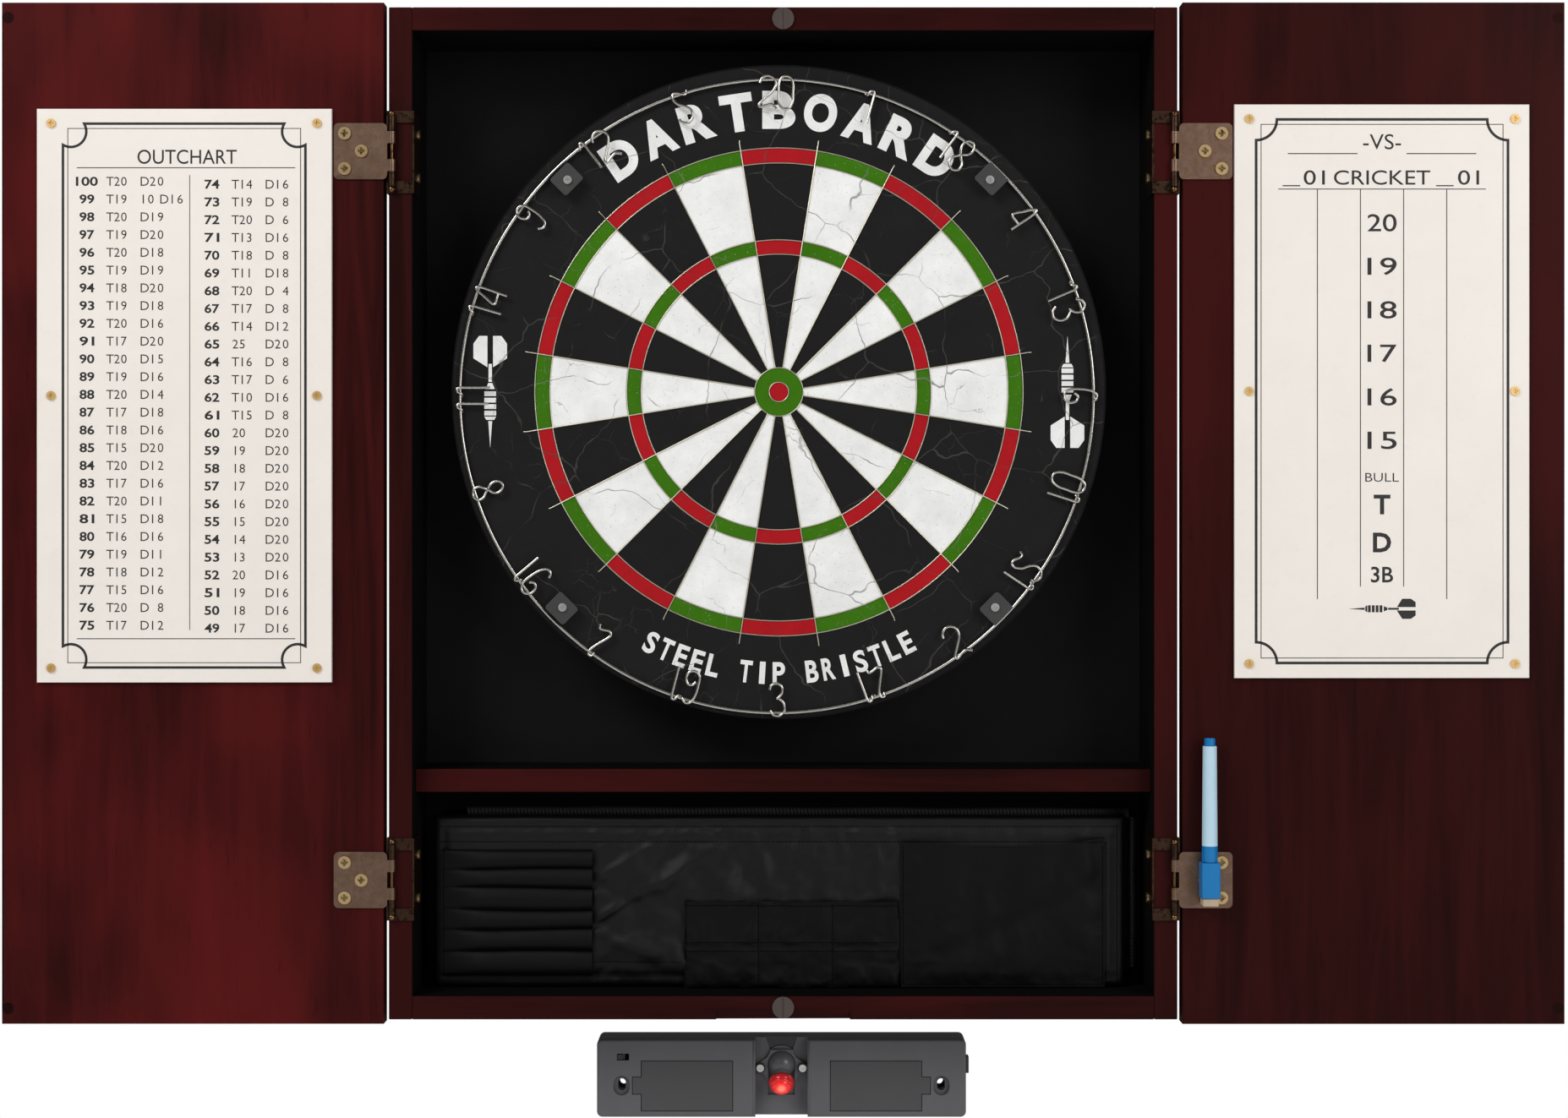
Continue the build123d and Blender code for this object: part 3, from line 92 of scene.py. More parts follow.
class Shader:
    """A procedural material built with short calls, which read places in the object's own frame."""

    def __init__(self, name, **constants):
        self.material = bpy.data.materials.new(name)
        self.material.use_nodes = True
        self.tree = self.material.node_tree
        self.surface = self.tree.nodes["Principled BSDF"]
        for label, value in constants.items():
            self.give(label.replace("_", " "), value)
        self.place = self.node("ShaderNodeTexCoord").outputs["Object"]

    def feed(self, socket, value):
        if isinstance(value, bpy.types.NodeSocket):
            self.tree.links.new(value, socket)
        else:
            socket.default_value = value

    def give(self, label, value):
        self.feed(self.surface.inputs[label], value)

    def node(self, kind, inputs=None, **settings):
        """A node with its settings; each of its inputs is given a value or a link."""
        made = self.tree.nodes.new(kind)
        for key, value in settings.items():
            setattr(made, key, value)
        for label, value in (inputs or {}).items():
            self.feed(made.inputs[label], value)
        return made

    def math(self, operation, first, second=0.0):
        return self.node("ShaderNodeMath", {0: first, 1: second}, operation=operation).outputs[0]

    def times(self, first, second):
        return self.math("MULTIPLY", first, second)

    def plus(self, first, second):
        return self.math("ADD", first, second)

    def minus(self, first, second):
        return self.math("SUBTRACT", first, second)

    def length(self, across, up):
        return self.math("SQRT", self.plus(self.times(across, across), self.times(up, up)))

    def axis(self, name, place=None):
        return self.node("ShaderNodeSeparateXYZ", {0: place or self.place}).outputs[name]

    def above(self, value, edge, soft):
        """0 below the edge, 1 above it, with a soft step between."""
        ends = {"Value": value, "From Min": edge - soft / 2, "From Max": edge + soft / 2}
        return self.node("ShaderNodeMapRange", ends, interpolation_type="SMOOTHSTEP").outputs["Result"]

    def scaled(self, value, low, high):
        """A share from 0 to 1 spread over low to high."""
        ends = {"Value": value, "To Min": low, "To Max": high}
        return self.node("ShaderNodeMapRange", ends).outputs["Result"]

    def mix(self, share, first, second, blend="MIX"):
        tones = {0: share, 6: first, 7: second}
        return self.node("ShaderNodeMix", tones, data_type="RGBA", blend_type=blend).outputs[2]

    def stretched(self, stretch):
        return self.node("ShaderNodeMapping", {"Vector": self.place, "Scale": stretch}).outputs[0]

    def noise(self, scale, detail=4.0, rough=0.55, place=None, distortion=0.0):
        return self.node("ShaderNodeTexNoise", {
            "Vector": place or self.place, "Scale": scale, "Detail": detail,
            "Roughness": rough, "Distortion": distortion,
        }).outputs["Fac"]

    def shaken(self, scale, amount):
        """The place moved a little by noise, so that what is drawn on it isn't ruler straight."""
        cloud = self.node("ShaderNodeTexNoise", {"Vector": self.place, "Scale": scale, "Detail": 3.0})
        terms = {0: cloud.outputs["Color"], 1: (amount,) * 3, 2: self.place}
        moved = self.node("ShaderNodeVectorMath", terms, operation="MULTIPLY_ADD")
        terms = {0: moved.outputs[0], 1: (amount / 2,) * 3}
        return self.node("ShaderNodeVectorMath", terms, operation="SUBTRACT").outputs[0]

    def cells(self, scale, place):
        ends = {"Vector": place, "Scale": scale}
        return self.node("ShaderNodeTexVoronoi", ends, feature="DISTANCE_TO_EDGE").outputs["Distance"]

    def bump(self, height, distance, strength):
        relief = {"Strength": strength, "Distance": distance, "Height": height}
        self.give("Normal", self.node("ShaderNodeBump", relief).outputs["Normal"])


def dimmed(tone, share):
    return tuple(share * c for c in tone[:3]) + (1.0,)


def wood(name, grain, dark, light, red, inner=None):
    """Stained and lacquered mahogany. grain is the axis that it runs along; inner masks the faces inside
    the case, which are given a near-black painted shade.
    """
    made = Shader(name, Coat_Weight=0.015, Coat_Roughness=0.3, Specular_IOR_Level=0.035)
    stretch = {"X": (0.07, 1.0, 1.0), "Z": (1.0, 1.0, 0.07)}[grain]
    along = made.stretched(stretch)
    figure = made.noise(55.0, 6.0, 0.62, along, 0.9)
    fine = made.noise(520.0, 4.0, 0.7, along)
    blotch = made.noise(5.2, 3.0, 0.55, made.stretched(tuple((s + 1) / 2 for s in stretch)))
    tone = made.mix(made.above(figure, 0.5, 0.5), dark, light)
    tone = made.mix(made.times(made.above(blotch, 0.55, 0.28), 0.75), tone, red)
    pores = made.above(fine, 0.66, 0.1)
    tone = made.mix(made.times(pores, 0.35), tone, dimmed(dark, 0.35))
    roughness = made.scaled(figure, 0.36, 0.52)
    if inner is not None:
        # Painted shade: the mahogany inside the case is given a near-black tone, with more roughness and no
        # coat.
        painted_shade_mask = inner(made)
        black = made.mix(made.noise(30.0, 4.0), (0.0034, 0.0032, 0.0033, 1), (0.0062, 0.0056, 0.0057, 1))
        tone = made.mix(painted_shade_mask, tone, black)
        roughness = made.plus(roughness, made.times(painted_shade_mask, 0.25))
        made.give("Coat Weight", made.scaled(painted_shade_mask, 0.015, 0.0))
    made.give("Base Color", tone)
    made.give("Roughness", roughness)
    made.bump(made.plus(made.times(fine, 0.4), figure), 0.00012, 0.35)
    return made.material


def metal(name, low, high, rough=(0.25, 0.45), scratch=900.0, tarnish=None, worn=None):
    """A metal with fine scratches, patches of two tones, and bright wear where its edges stand out."""
    made = Shader(name, Metallic=1.0)
    patch = made.noise(140.0, 5.0, 0.6)
    streak = made.noise(scratch, 3.0, 0.6, made.stretched((1.0, 1.0, 0.4)))
    tone = made.mix(patch, linear(*low), linear(*high))
    if tarnish is not None:
        tone = made.mix(made.above(made.noise(320.0, 5.0, 0.7), 0.56, 0.16), tone, linear(*tarnish))
    if worn is not None:
        edges = made.node("ShaderNodeNewGeometry").outputs["Pointiness"]
        tone = made.mix(made.above(edges, 0.56, 0.06), tone, linear(*worn))
    made.give("Base Color", tone)
    made.give("Roughness", made.scaled(streak, *rough))
    made.bump(streak, 0.00004, 0.3)
    return made.material


def plastic(name, tone, rough=(0.35, 0.5), grit=2600.0, depth=0.00005, shade=0.75, **more):
    """Moulded plastic with spark-eroded grit and a slight change of tone."""
    made = Shader(name, **more)
    grain = made.noise(grit, 2.0, 0.5)
    cloud = made.noise(60.0, 4.0, 0.6)
    made.give("Base Color", made.mix(cloud, dimmed(tone, shade), tone))
    made.give("Roughness", made.scaled(made.noise(260.0, 4.0), *rough))
    made.bump(grain, depth, 0.5)
    return made.material


def board_place(made):
    """Radius and angle about the board's centre, on slightly shaken places."""
    place = made.shaken(420.0, 0.0009)
    across = made.minus(made.axis("X", place), BOARD_X)
    up = made.axis("Z", place)
    return made.length(across, up), made.math("ARCTAN2", up, across)


def aged(made, tone, crack_tone, fleck_tone, crack_share=0.8):
    """Adds the fine lines, flecks and fibre of old sisal to a tone, and its bump."""
    wander = made.shaken(30.0, 0.022)
    cracks = made.above(made.cells(14.0, wander), 0.0042, 0.006)
    fading = made.above(made.noise(24.0, 2.0), 0.47, 0.16)
    line = made.times(made.minus(1.0, cracks), fading)
    hair = made.above(made.cells(33.0, made.shaken(70.0, 0.012)), 0.005, 0.007)
    patches = made.above(made.noise(31.0, 2.0), 0.57, 0.1)
    faint = made.times(made.minus(1.0, hair), patches)
    line = made.math("MAXIMUM", line, made.times(faint, 0.6))
    flecks = made.above(made.noise(620.0, 3.0, 0.65), 0.66, 0.06)
    fibre = made.noise(2300.0, 3.0, 0.7)
    mottle = made.noise(48.0, 5.0, 0.65)
    tone = made.mix(made.times(flecks, 0.55), tone, fleck_tone)
    tone = made.mix(made.times(line, crack_share), tone, crack_tone)
    shade = made.scaled(made.plus(made.times(fibre, 0.5), mottle), 0.72, 1.16)
    grey = made.node("ShaderNodeCombineColor", {0: shade, 1: shade, 2: shade})
    tone = made.mix(1.0, tone, grey.outputs[0], "MULTIPLY")
    made.bump(made.minus(fibre, line), 0.00016, 0.55)
    return tone


def sisal():
    """The printed face: sectors by angle and rings by radius, black, white, red and green."""
    made = Shader("sisal_print", Roughness=0.8, Specular_IOR_Level=0.1)
    radius, angle = board_place(made)
    index = made.math("FLOOR", made.plus(made.math("DIVIDE", angle, SECTOR), 0.5))
    odd = made.math("FLOORED_MODULO", index, 2.0)
    soft = 0.00035

    def band(low, high):
        return made.times(made.above(radius, low, soft), made.above(radius, high, -soft))

    black = linear(27, 27, 27)
    white = linear(226, 226, 224)
    red = linear(163, 20, 28)
    green = linear(54, 106, 8)
    light = made.times(made.minus(1.0, odd), made.above(radius, DOUBLE[1], -soft))
    tone = made.mix(light, black, white)
    scoring = made.math("MAXIMUM", band(*TREBLE), band(*DOUBLE))
    tone = made.mix(scoring, tone, made.mix(odd, green, red))
    tone = made.mix(made.above(radius, OUTER_BULL, -soft), tone, green)
    tone = made.mix(made.above(radius, INNER_BULL, -soft), tone, red)
    pale = made.times(light, made.above(radius, OUTER_BULL, soft))
    crack_tone = made.mix(pale, linear(66, 64, 62), linear(112, 110, 108))
    fleck_tone = made.mix(pale, linear(44, 44, 44), linear(150, 150, 148))
    made.give("Base Color", aged(made, tone, crack_tone, fleck_tone))
    return made.material


def board_paint():
    """The white print on the black surround, worn like the rest of the face."""
    made = Shader("board_paint", Roughness=0.78, Specular_IOR_Level=0.1)
    tone = made.mix(made.noise(90.0, 4.0), linear(214, 214, 212), linear(228, 228, 226))
    made.give("Base Color", aged(made, tone, linear(120, 120, 118), linear(150, 150, 148), 0.7))
    return made.material


def fabric(name, tone, sheen, rough=(0.3, 0.42), shine=0.28):
    """Woven nylon: a fine plain weave, a soft shine and slightly uneven dye."""
    made = Shader(name, Specular_IOR_Level=shine, Sheen_Weight=sheen, Sheen_Roughness=0.35)
    threads = 2 * math.pi / (0.42 * MM)
    weft = made.math("SINE", made.times(made.axis("X"), threads))
    warp = made.math("SINE", made.times(made.axis("Z"), threads))
    weave = made.times(weft, warp)
    cloud = made.noise(26.0, 4.0, 0.6)
    made.give("Base Color", made.mix(cloud, dimmed(tone, 0.6), tone))
    made.give("Roughness", made.scaled(made.noise(300.0, 3.0), *rough))
    made.bump(made.plus(weave, made.times(made.noise(900.0, 2.0), 1.2)), 0.00003, 0.5)
    return made.material


def ink(name, tone):
    """Screen-printed ink, a little uneven."""
    made = Shader(name, Specular_IOR_Level=0.3)
    cloud = made.noise(1400.0, 3.0, 0.7)
    lighter = tuple(1.7 * c + 0.004 for c in tone[:3]) + (1.0,)
    made.give("Base Color", made.mix(made.above(cloud, 0.6, 0.2), tone, lighter))
    made.give("Roughness", made.scaled(cloud, 0.4, 0.6))
    return made.material


def chart_face():
    """Smooth coated board, off-white, with the faintest mottle and handling marks."""
    made = Shader("chart_face", Coat_Weight=0.15, Coat_Roughness=0.25, Specular_IOR_Level=0.4)
    tone = made.mix(made.noise(18.0, 4.0, 0.6), linear(230, 222, 213), linear(239, 233, 226))
    smudge = made.above(made.noise(95.0, 5.0, 0.7), 0.62, 0.12)
    made.give("Base Color", made.mix(made.times(smudge, 0.25), tone, linear(222, 219, 214)))
    made.give("Roughness", made.scaled(made.noise(340.0, 4.0), 0.36, 0.5))
    made.bump(made.noise(1500.0, 2.0), 0.00002, 0.3)
    return made.material


def fibre_board():
    """Pressed wood fibre, brown, coarse on the sides."""
    made = Shader("fibre_board", Roughness=0.85)
    chips = made.noise(700.0, 6.0, 0.75)
    made.give("Base Color", made.mix(chips, linear(82, 58, 38), linear(140, 106, 72)))
    made.bump(chips, 0.0003, 0.6)
    return made.material


BALL_LOW, BALL_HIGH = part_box("aiming_ball")
BALL_REACH = 10.0 * MM
BALL_SPOT = Vector(((BALL_LOW.x + BALL_HIGH.x) / 2, BALL_HIGH.y - BALL_REACH, BALL_HIGH.z - BALL_REACH))
AIM = Vector((0.0, -math.sqrt(0.5), -math.sqrt(0.5)))
# The axis about which the lens's painted glow is brightest, between the aim and straight ahead.
PAINTED_GLOW_AXIS = Vector((0.0, -0.927, -0.375))
LENS_MIDDLE = BALL_SPOT + 16.0 * MM * AIM


def red_lens():
    """The clear red dome with a painted glow: a pale painted highlight in its middle, red round it, and
    painted shade at its rim, all also given off as emission.
    """
    made = Shader("red_lens", Roughness=0.16, IOR=1.49, Specular_IOR_Level=0.5, Emission_Strength=0.62)
    across = made.minus(made.axis("X"), BALL_SPOT.x)
    up = made.minus(made.axis("Z"), LENS_MIDDLE.z)
    back = made.minus(made.axis("Y"), LENS_MIDDLE.y)
    along = made.plus(made.times(up, AIM.z), made.times(back, AIM.y))
    side = made.minus(made.times(up, PAINTED_GLOW_AXIS.y), made.times(back, PAINTED_GLOW_AXIS.z))
    reach = made.length(across, side)
    cloud = made.noise(900.0, 3.0)
    reach = made.plus(reach, made.times(made.minus(cloud, 0.5), 0.0022))
    tone = made.mix(made.above(reach, 0.0060, 0.0050), linear(232, 36, 38), linear(142, 30, 32))
    # The pale painted highlight of the glow, in the middle.
    tone = made.mix(made.above(reach, 0.0027, 0.0030), linear(255, 140, 112), tone)
    # Painted shade towards the back of the dome, at its rim.
    tone = made.mix(made.above(along, -0.0018, -0.0012), tone, linear(60, 10, 12))
    made.give("Base Color", made.mix(0.5, tone, linear(160, 8, 10)))
    # The painted glow: the dome's tones also given off as emission.
    made.give("Emission Color", tone)
    made.bump(cloud, 0.00006, 0.4)
    return made.material


def case_inside(made):
    """1 on the faces inside the case, behind the front edges of its boards, which get a near-black painted
    shade.
    """
    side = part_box("side_panel_right")[0].x
    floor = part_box("bottom_panel")[1].z
    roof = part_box("top_panel")[0].z
    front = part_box("top_panel")[0].y
    edge = 0.0003
    across = made.math("ABSOLUTE", made.axis("X"))
    inside = made.above(across, side + edge, -edge)
    inside = made.times(inside, made.above(made.axis("Z"), floor - edge, edge))
    inside = made.times(inside, made.above(made.axis("Z"), roof + edge, -edge))
    return made.times(inside, made.above(made.axis("Y"), front + 2.2 * edge, edge))


def shelf_inside(made):
    """1 on the shelf's faces behind its mahogany front edge, which get a near-black painted shade."""
    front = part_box("divider_shelf")[0].y
    return made.above(made.axis("Y"), front + 0.0009, 0.0003)


MAHOGANY = (linear(36, 10, 10), linear(62, 17, 16), linear(96, 24, 25))
DEEP_MAHOGANY = (linear(32, 10, 9), linear(50, 15, 14), linear(64, 17, 17))
upright_wood = wood("upright_mahogany", "Z", *DEEP_MAHOGANY, inner=case_inside)
level_wood = wood("level_mahogany", "X", *DEEP_MAHOGANY, inner=case_inside)
shelf_wood = wood("shelf_mahogany", "X", *DEEP_MAHOGANY, inner=shelf_inside)
left_wood = wood("left_door_mahogany", "Z", *MAHOGANY)
right_wood = wood("right_door_mahogany", "Z", *DEEP_MAHOGANY)
back_paint = plastic(
    "back_paint", (0.0074, 0.0072, 0.0073, 1), (0.6, 0.8), 900.0, 0.0001, 0.7, Specular_IOR_Level=0.08,
)
zinc = metal("zinc_plate", (206, 206, 203), (234, 234, 230), (0.28, 0.5))
bronze = metal(
    "antique_bronze", (104, 81, 70), (156, 128, 112), (0.36, 0.54), 1900.0,
    (128, 100, 70),
)
# Painted shade: the frame leaves are bronze like the door leaves, given darker tones for the shade that the
# barrels and door leaves cast on them.
dark_bronze = metal(
    "dark_bronze", (58, 42, 34), (86, 64, 50), (0.34, 0.52), 1900.0,
    (34, 25, 20),
)
pin_bronze = metal(
    "pin_bronze", (96, 74, 58), (150, 112, 78), (0.26, 0.42), 1900.0,
    (52, 38, 30), (230, 180, 120),
)
screw_bronze = metal(
    "bronze_screw", (128, 104, 66), (176, 148, 98), (0.28, 0.45), 1500.0,
    (70, 52, 34), (220, 190, 140),
)
brass = metal("brass_screw", (226, 184, 116), (246, 214, 150), (0.42, 0.6))
wire_steel = metal("spring_wire", (196, 193, 186), (226, 222, 214), (0.2, 0.36), 1500.0)
spider_steel = metal("spider_wire", (206, 200, 178), (232, 226, 206), (0.28, 0.44), 1500.0)
band_steel = metal("rim_paint", (26, 26, 26), (44, 44, 44), (0.35, 0.55), 300.0)
strike_paint = metal("strike_paint", (36, 19, 18), (48, 26, 24), (0.5, 0.65), 700.0)
magnet_steel = metal("magnet", (84, 82, 78), (120, 117, 110), (0.4, 0.6))
module_brass = metal("module_brass", (150, 120, 70), (190, 156, 96), (0.25, 0.4))
catch_plastic = plastic("catch_plastic", linear(74, 62, 58), (0.35, 0.55), 1800.0)
clip_plastic = plastic("clip_plastic", linear(60, 60, 60), (0.38, 0.55), 2200.0, 0.00008, 0.7)
unit_plastic = plastic("unit_plastic", linear(92, 92, 95), (0.4, 0.55), 2400.0, 0.00008, 0.85)
door_plastic = plastic("door_plastic", linear(72, 72, 74), (0.42, 0.56), 2000.0, 0.0001, 0.85)
ball_plastic = plastic("ball_plastic", linear(92, 92, 95), (0.24, 0.34), 1600.0, 0.00002, 0.88)
unit_gloss = plastic("unit_gloss", linear(26, 26, 27), (0.14, 0.26), 1200.0, 0.00002, 0.7)
marker_blue = plastic("marker_blue", linear(0, 116, 182), (0.24, 0.36), 1400.0, 0.00003, 0.86)
marker_pale = plastic("marker_pale", linear(186, 216, 232), (0.24, 0.36), 1400.0, 0.00003, 0.94)
felt = plastic("felt", linear(196, 176, 150), (0.9, 1.0), 3200.0, 0.0004, 0.7)
rubber = plastic("rubber_pad", linear(30, 30, 30), (0.7, 0.85), 1600.0, 0.0001, 0.8)
circuit = plastic("circuit_board", linear(18, 84, 44), (0.3, 0.5), 900.0, 0.00004, 0.7)
cell_wrap = plastic("cell_wrap", linear(44, 46, 52), (0.2, 0.35), 700.0, 0.00002, 0.7)
nylon = fabric("nylon", (0.0024, 0.0023, 0.0024, 1), 0.004, (0.42, 0.52), 0.27)
pocket_nylon = fabric("pocket_nylon", (0.0024, 0.0023, 0.0024, 1), 0.006, (0.46, 0.6), 0.15)
nylon_tape = fabric("nylon_tape", (0.0075, 0.0072, 0.0072, 1), 0.08, (0.5, 0.65))
thread = fabric("thread", (0.001, 0.001, 0.001, 1), 0.0, (0.6, 0.7), 0.05)
print_ink = ink("print_ink", linear(44, 42, 42))
chart_white = chart_face()
sisal_print = sisal()
white_paint = board_paint()

FINISHES = (
    (upright_wood, "side_panel_left side_panel_right"),
    (level_wood, "top_panel bottom_panel"),
    (shelf_wood, "divider_shelf"),
    (back_paint, "back_panel"),
    (zinc, "board_bracket bracket_screws hang_screw clip_screws retainer_screws"),
    (strike_paint, "strikes_left strikes_right"),
    (catch_plastic, "catch_housings"),
    (magnet_steel, "catch_magnets"),
    (dark_bronze, "frame_leaves"),
    (screw_bronze, "frame_leaf_screws door_leaf_screws_left door_leaf_screws_right"),
    (pin_bronze, "hinge_pins"),
    (bronze, "door_leaves_left door_leaves_right"),
    (left_wood, "left_door"),
    (right_wood, "right_door"),
    (chart_white, "out_chart score_chart"),
    (brass, "out_chart_screws score_chart_screws"),
    (marker_blue, "marker_cap marker_collar marker_plug"),
    (marker_pale, "marker_barrel"),
    (felt, "marker_eraser marker_nib"),
    (fibre_board(), "backing_board"),
    (sisal_print, "sisal_disc"),
    (band_steel, "rim_band"),
    (rubber, "board_spacers"),
    (spider_steel, "spider_wires"),
    (wire_steel, "number_ring"),
    (clip_plastic, "ring_clip_1 ring_clip_2 ring_clip_3 ring_clip_4"),
    (nylon, "organizer_pad"),
    (pocket_nylon, "organizer_dart_sleeves organizer_small_pockets organizer_large_pocket"),
    (unit_plastic, "laser_rear_shell laser_front_shell ball_retainer"),
    (door_plastic, "battery_door_left battery_door_right"),
    (ball_plastic, "aiming_ball"),
    (unit_gloss, "mode_switch power_button"),
    (module_brass, "laser_module"),
    (red_lens(), "laser_lens"),
    (circuit, "circuit_board"),
    (cell_wrap, "batteries"),
)
MATERIALS = {node: finish for finish, names in FINISHES for node in names.split()}
for node_name, shown in nodes.items():
    shown.data.materials.clear()
    shown.data.materials.append(MATERIALS[node_name])


# ---------------------------------------------------------------- mesh helpers


def shaded(mesh, sharp=None):
    """Smooth shading, but for edges steeper than sharp degrees."""
    mesh.polygons.foreach_set("use_smooth", [True] * len(mesh.polygons))
    if sharp is not None:
        mesh.set_sharp_from_angle(angle=math.radians(sharp))
    return mesh


def mesh_of_shape(shape, name):
    mesh = bpy.data.meshes.new(name)
    shape.to_mesh(mesh)
    shape.free()
    return mesh


def mesh_of_curve(curve):
    holder = bpy.data.objects.new(curve.name, curve)
    mesh = bpy.data.meshes.new_from_object(holder)
    bpy.data.objects.remove(holder)
    bpy.data.curves.remove(curve)
    return mesh


def add_line(curve, points, closed):
    spline = curve.splines.new("POLY")
    spline.points.add(len(points) - 1)
    for spot, point in zip(spline.points, points):
        spot.co = (*point, 1.0)
    spline.use_cyclic_u = closed


def piece(name, mesh, body, material, replaced=()):
    """An object for the mesh, riding on a body, with its finish and the nodes it stands for."""
    made = bpy.data.objects.new(name, mesh)
    bpy.context.scene.collection.objects.link(made)
    mesh.materials.clear()
    mesh.materials.append(material)
    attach(made, body)
    if replaced:
        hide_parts(*replaced)
    return made


def rounded(node, width, shortest=0.0, segments=2, long=0.0, fine=1.0):
    """A copy of a CAD node with its sharp edges rounded, if longer than shortest; all in millimetres.
    Edges shorter than long are rounded by the share fine of the width."""
    shape = bmesh.new()
    shape.from_mesh(nodes[node].data)
    bmesh.ops.remove_doubles(shape, verts=shape.verts, dist=2e-6)
    bmesh.ops.dissolve_limit(shape, angle_limit=math.radians(0.4), verts=shape.verts, edges=shape.edges)
    steep = math.radians(32)
    weight = shape.edges.layers.float.new("bevel_weight_edge")
    for edge in shape.edges:
        if len(edge.link_faces) == 2 and edge.calc_face_angle() > steep:
            edge.smooth = False
            length = edge.calc_length()
            edge[weight] = 0.0 if length <= shortest * MM else fine if length < long * MM else 1.0
    mesh = shaded(mesh_of_shape(shape, node + "_rounded"))
    made = piece(node + "_rounded", mesh, nodes[node]["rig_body"], MATERIALS[node], [node])
    bevel = made.modifiers.new("rounding", "BEVEL")
    bevel.offset_type = "OFFSET"
    bevel.width = width * MM
    bevel.segments = segments
    bevel.limit_method = "WEIGHT"
    bevel.harden_normals = True
    return made


def smooth_path(points, steps=6, closed=False):
    """A smooth line through the points, by Catmull-Rom spans."""
    spots = [Vector(p) for p in points]
    count = len(spots)
    line = []
    spans = count if closed else count - 1
    for i in range(spans):
        before = spots[(i - 1) % count] if closed or i > 0 else 2 * spots[0] - spots[1]
        start = spots[i]
        end = spots[(i + 1) % count]
        after = spots[(i + 2) % count] if closed or i + 2 < count else 2 * end - start
        for step in range(steps):
            t = step / steps
            line.append(0.5 * (
                2 * start + (end - before) * t
                + (2 * before - 5 * start + 4 * end - after) * t * t
                + (3 * start - before - 3 * end + after) * t ** 3
            ))
    if not closed:
        line.append(spots[-1])
    return line


def wires(name, runs, radius, sides=2):
    """One mesh of round wires. Each run is a list of points and whether its ends meet."""
    curve = bpy.data.curves.new(name, "CURVE")
    curve.dimensions = "3D"
    curve.bevel_depth = radius
    curve.bevel_resolution = sides
    curve.use_fill_caps = True
    for points, closed in runs:
        add_line(curve, points, closed)
    return shaded(mesh_of_curve(curve))


def circle(centre, radius, y, count=160):
    return [
        (centre[0] + radius * math.cos(2 * math.pi * i / count), y,
         centre[1] + radius * math.sin(2 * math.pi * i / count))
        for i in range(count)
    ]


class Print:
    """Flat shapes of ink or paint laid on a face that looks to -Y."""

    def __init__(self, y):
        self.shape = bmesh.new()
        self.y = y

    def polygon(self, corners):
        self.shape.faces.new([self.shape.verts.new((x, self.y, z)) for x, z in corners])

    def strip(self, points, width, closed=False):
        """A line of even width through the points, mitred at its corners."""
        spots = [Vector(p) for p in points]
        count = len(spots)
        pairs = []
        for i, spot in enumerate(spots):
            before = spots[i - 1] if closed or i > 0 else None
            after = spots[(i + 1) % count] if closed or i + 1 < count else None
            into = (spot - before).normalized() if before is not None else (after - spot).normalized()
            out = (after - spot).normalized() if after is not None else into
            middle = (into + out).normalized()
            reach = width / 2 / max(0.4, middle.dot(into))
            side = Vector((-middle.y, middle.x)) * reach
            pairs.append([
                self.shape.verts.new((spot.x + s * side.x, self.y, spot.y + s * side.y)) for s in (-1, 1)
            ])
        last = count if closed else count - 1
        for i in range(last):
            a, b = pairs[i], pairs[(i + 1) % count]
            self.shape.faces.new([a[0], b[0], b[1], a[1]])

    def text(self, words, x, z, height, weight=0.0, turn=0.0, width=None, grain=3):
        """Words centred on a point: height and, if given, width are what the letters measure."""
        line = bpy.data.curves.new("words", "FONT")
        line.body = words
        line.resolution_u = grain
        line.offset = weight
        mesh = mesh_of_curve(line)
        spots = np.empty(len(mesh.vertices) * 3)
        mesh.vertices.foreach_get("co", spots)
        spots = spots.reshape(-1, 3)
        low, high = spots.min(0), spots.max(0)
        tall = height / (high[1] - low[1])
        wide = tall if width is None else width / (high[0] - low[0])
        across = (spots[:, 0] - (low[0] + high[0]) / 2) * wide
        up = (spots[:, 1] - (low[1] + high[1]) / 2) * tall
        cosine, sine = math.cos(turn), math.sin(turn)
        corners = [
            self.shape.verts.new((x + a * cosine - u * sine, self.y, z + a * sine + u * cosine))
            for a, u in zip(across, up)
        ]
        for face in mesh.polygons:
            self.shape.faces.new([corners[i] for i in face.vertices])
        bpy.data.meshes.remove(mesh)

    def finish(self, name, body, slot, material):
        bmesh.ops.recalc_face_normals(self.shape, faces=self.shape.faces)
        for face in self.shape.faces:
            if face.normal.y > 0:
                face.normal_flip()
        piece(name, mesh_of_shape(self.shape, name), body, material)


# ---------------------------------------------------------------- case, doors and hinges

for panel in ("side_panel_left", "side_panel_right", "top_panel", "bottom_panel", "divider_shelf"):
    rounded(panel, 0.7, 6)
for door in ("left_door", "right_door"):
    rounded(door, 1.1, 30, 3)
for chart in ("out_chart", "score_chart"):
    rounded(chart, 0.5, 30)
for leaves in ("frame_leaves", "door_leaves_left", "door_leaves_right"):
    rounded(leaves, 0.22, 0.9)
rounded("catch_housings", 0.3)


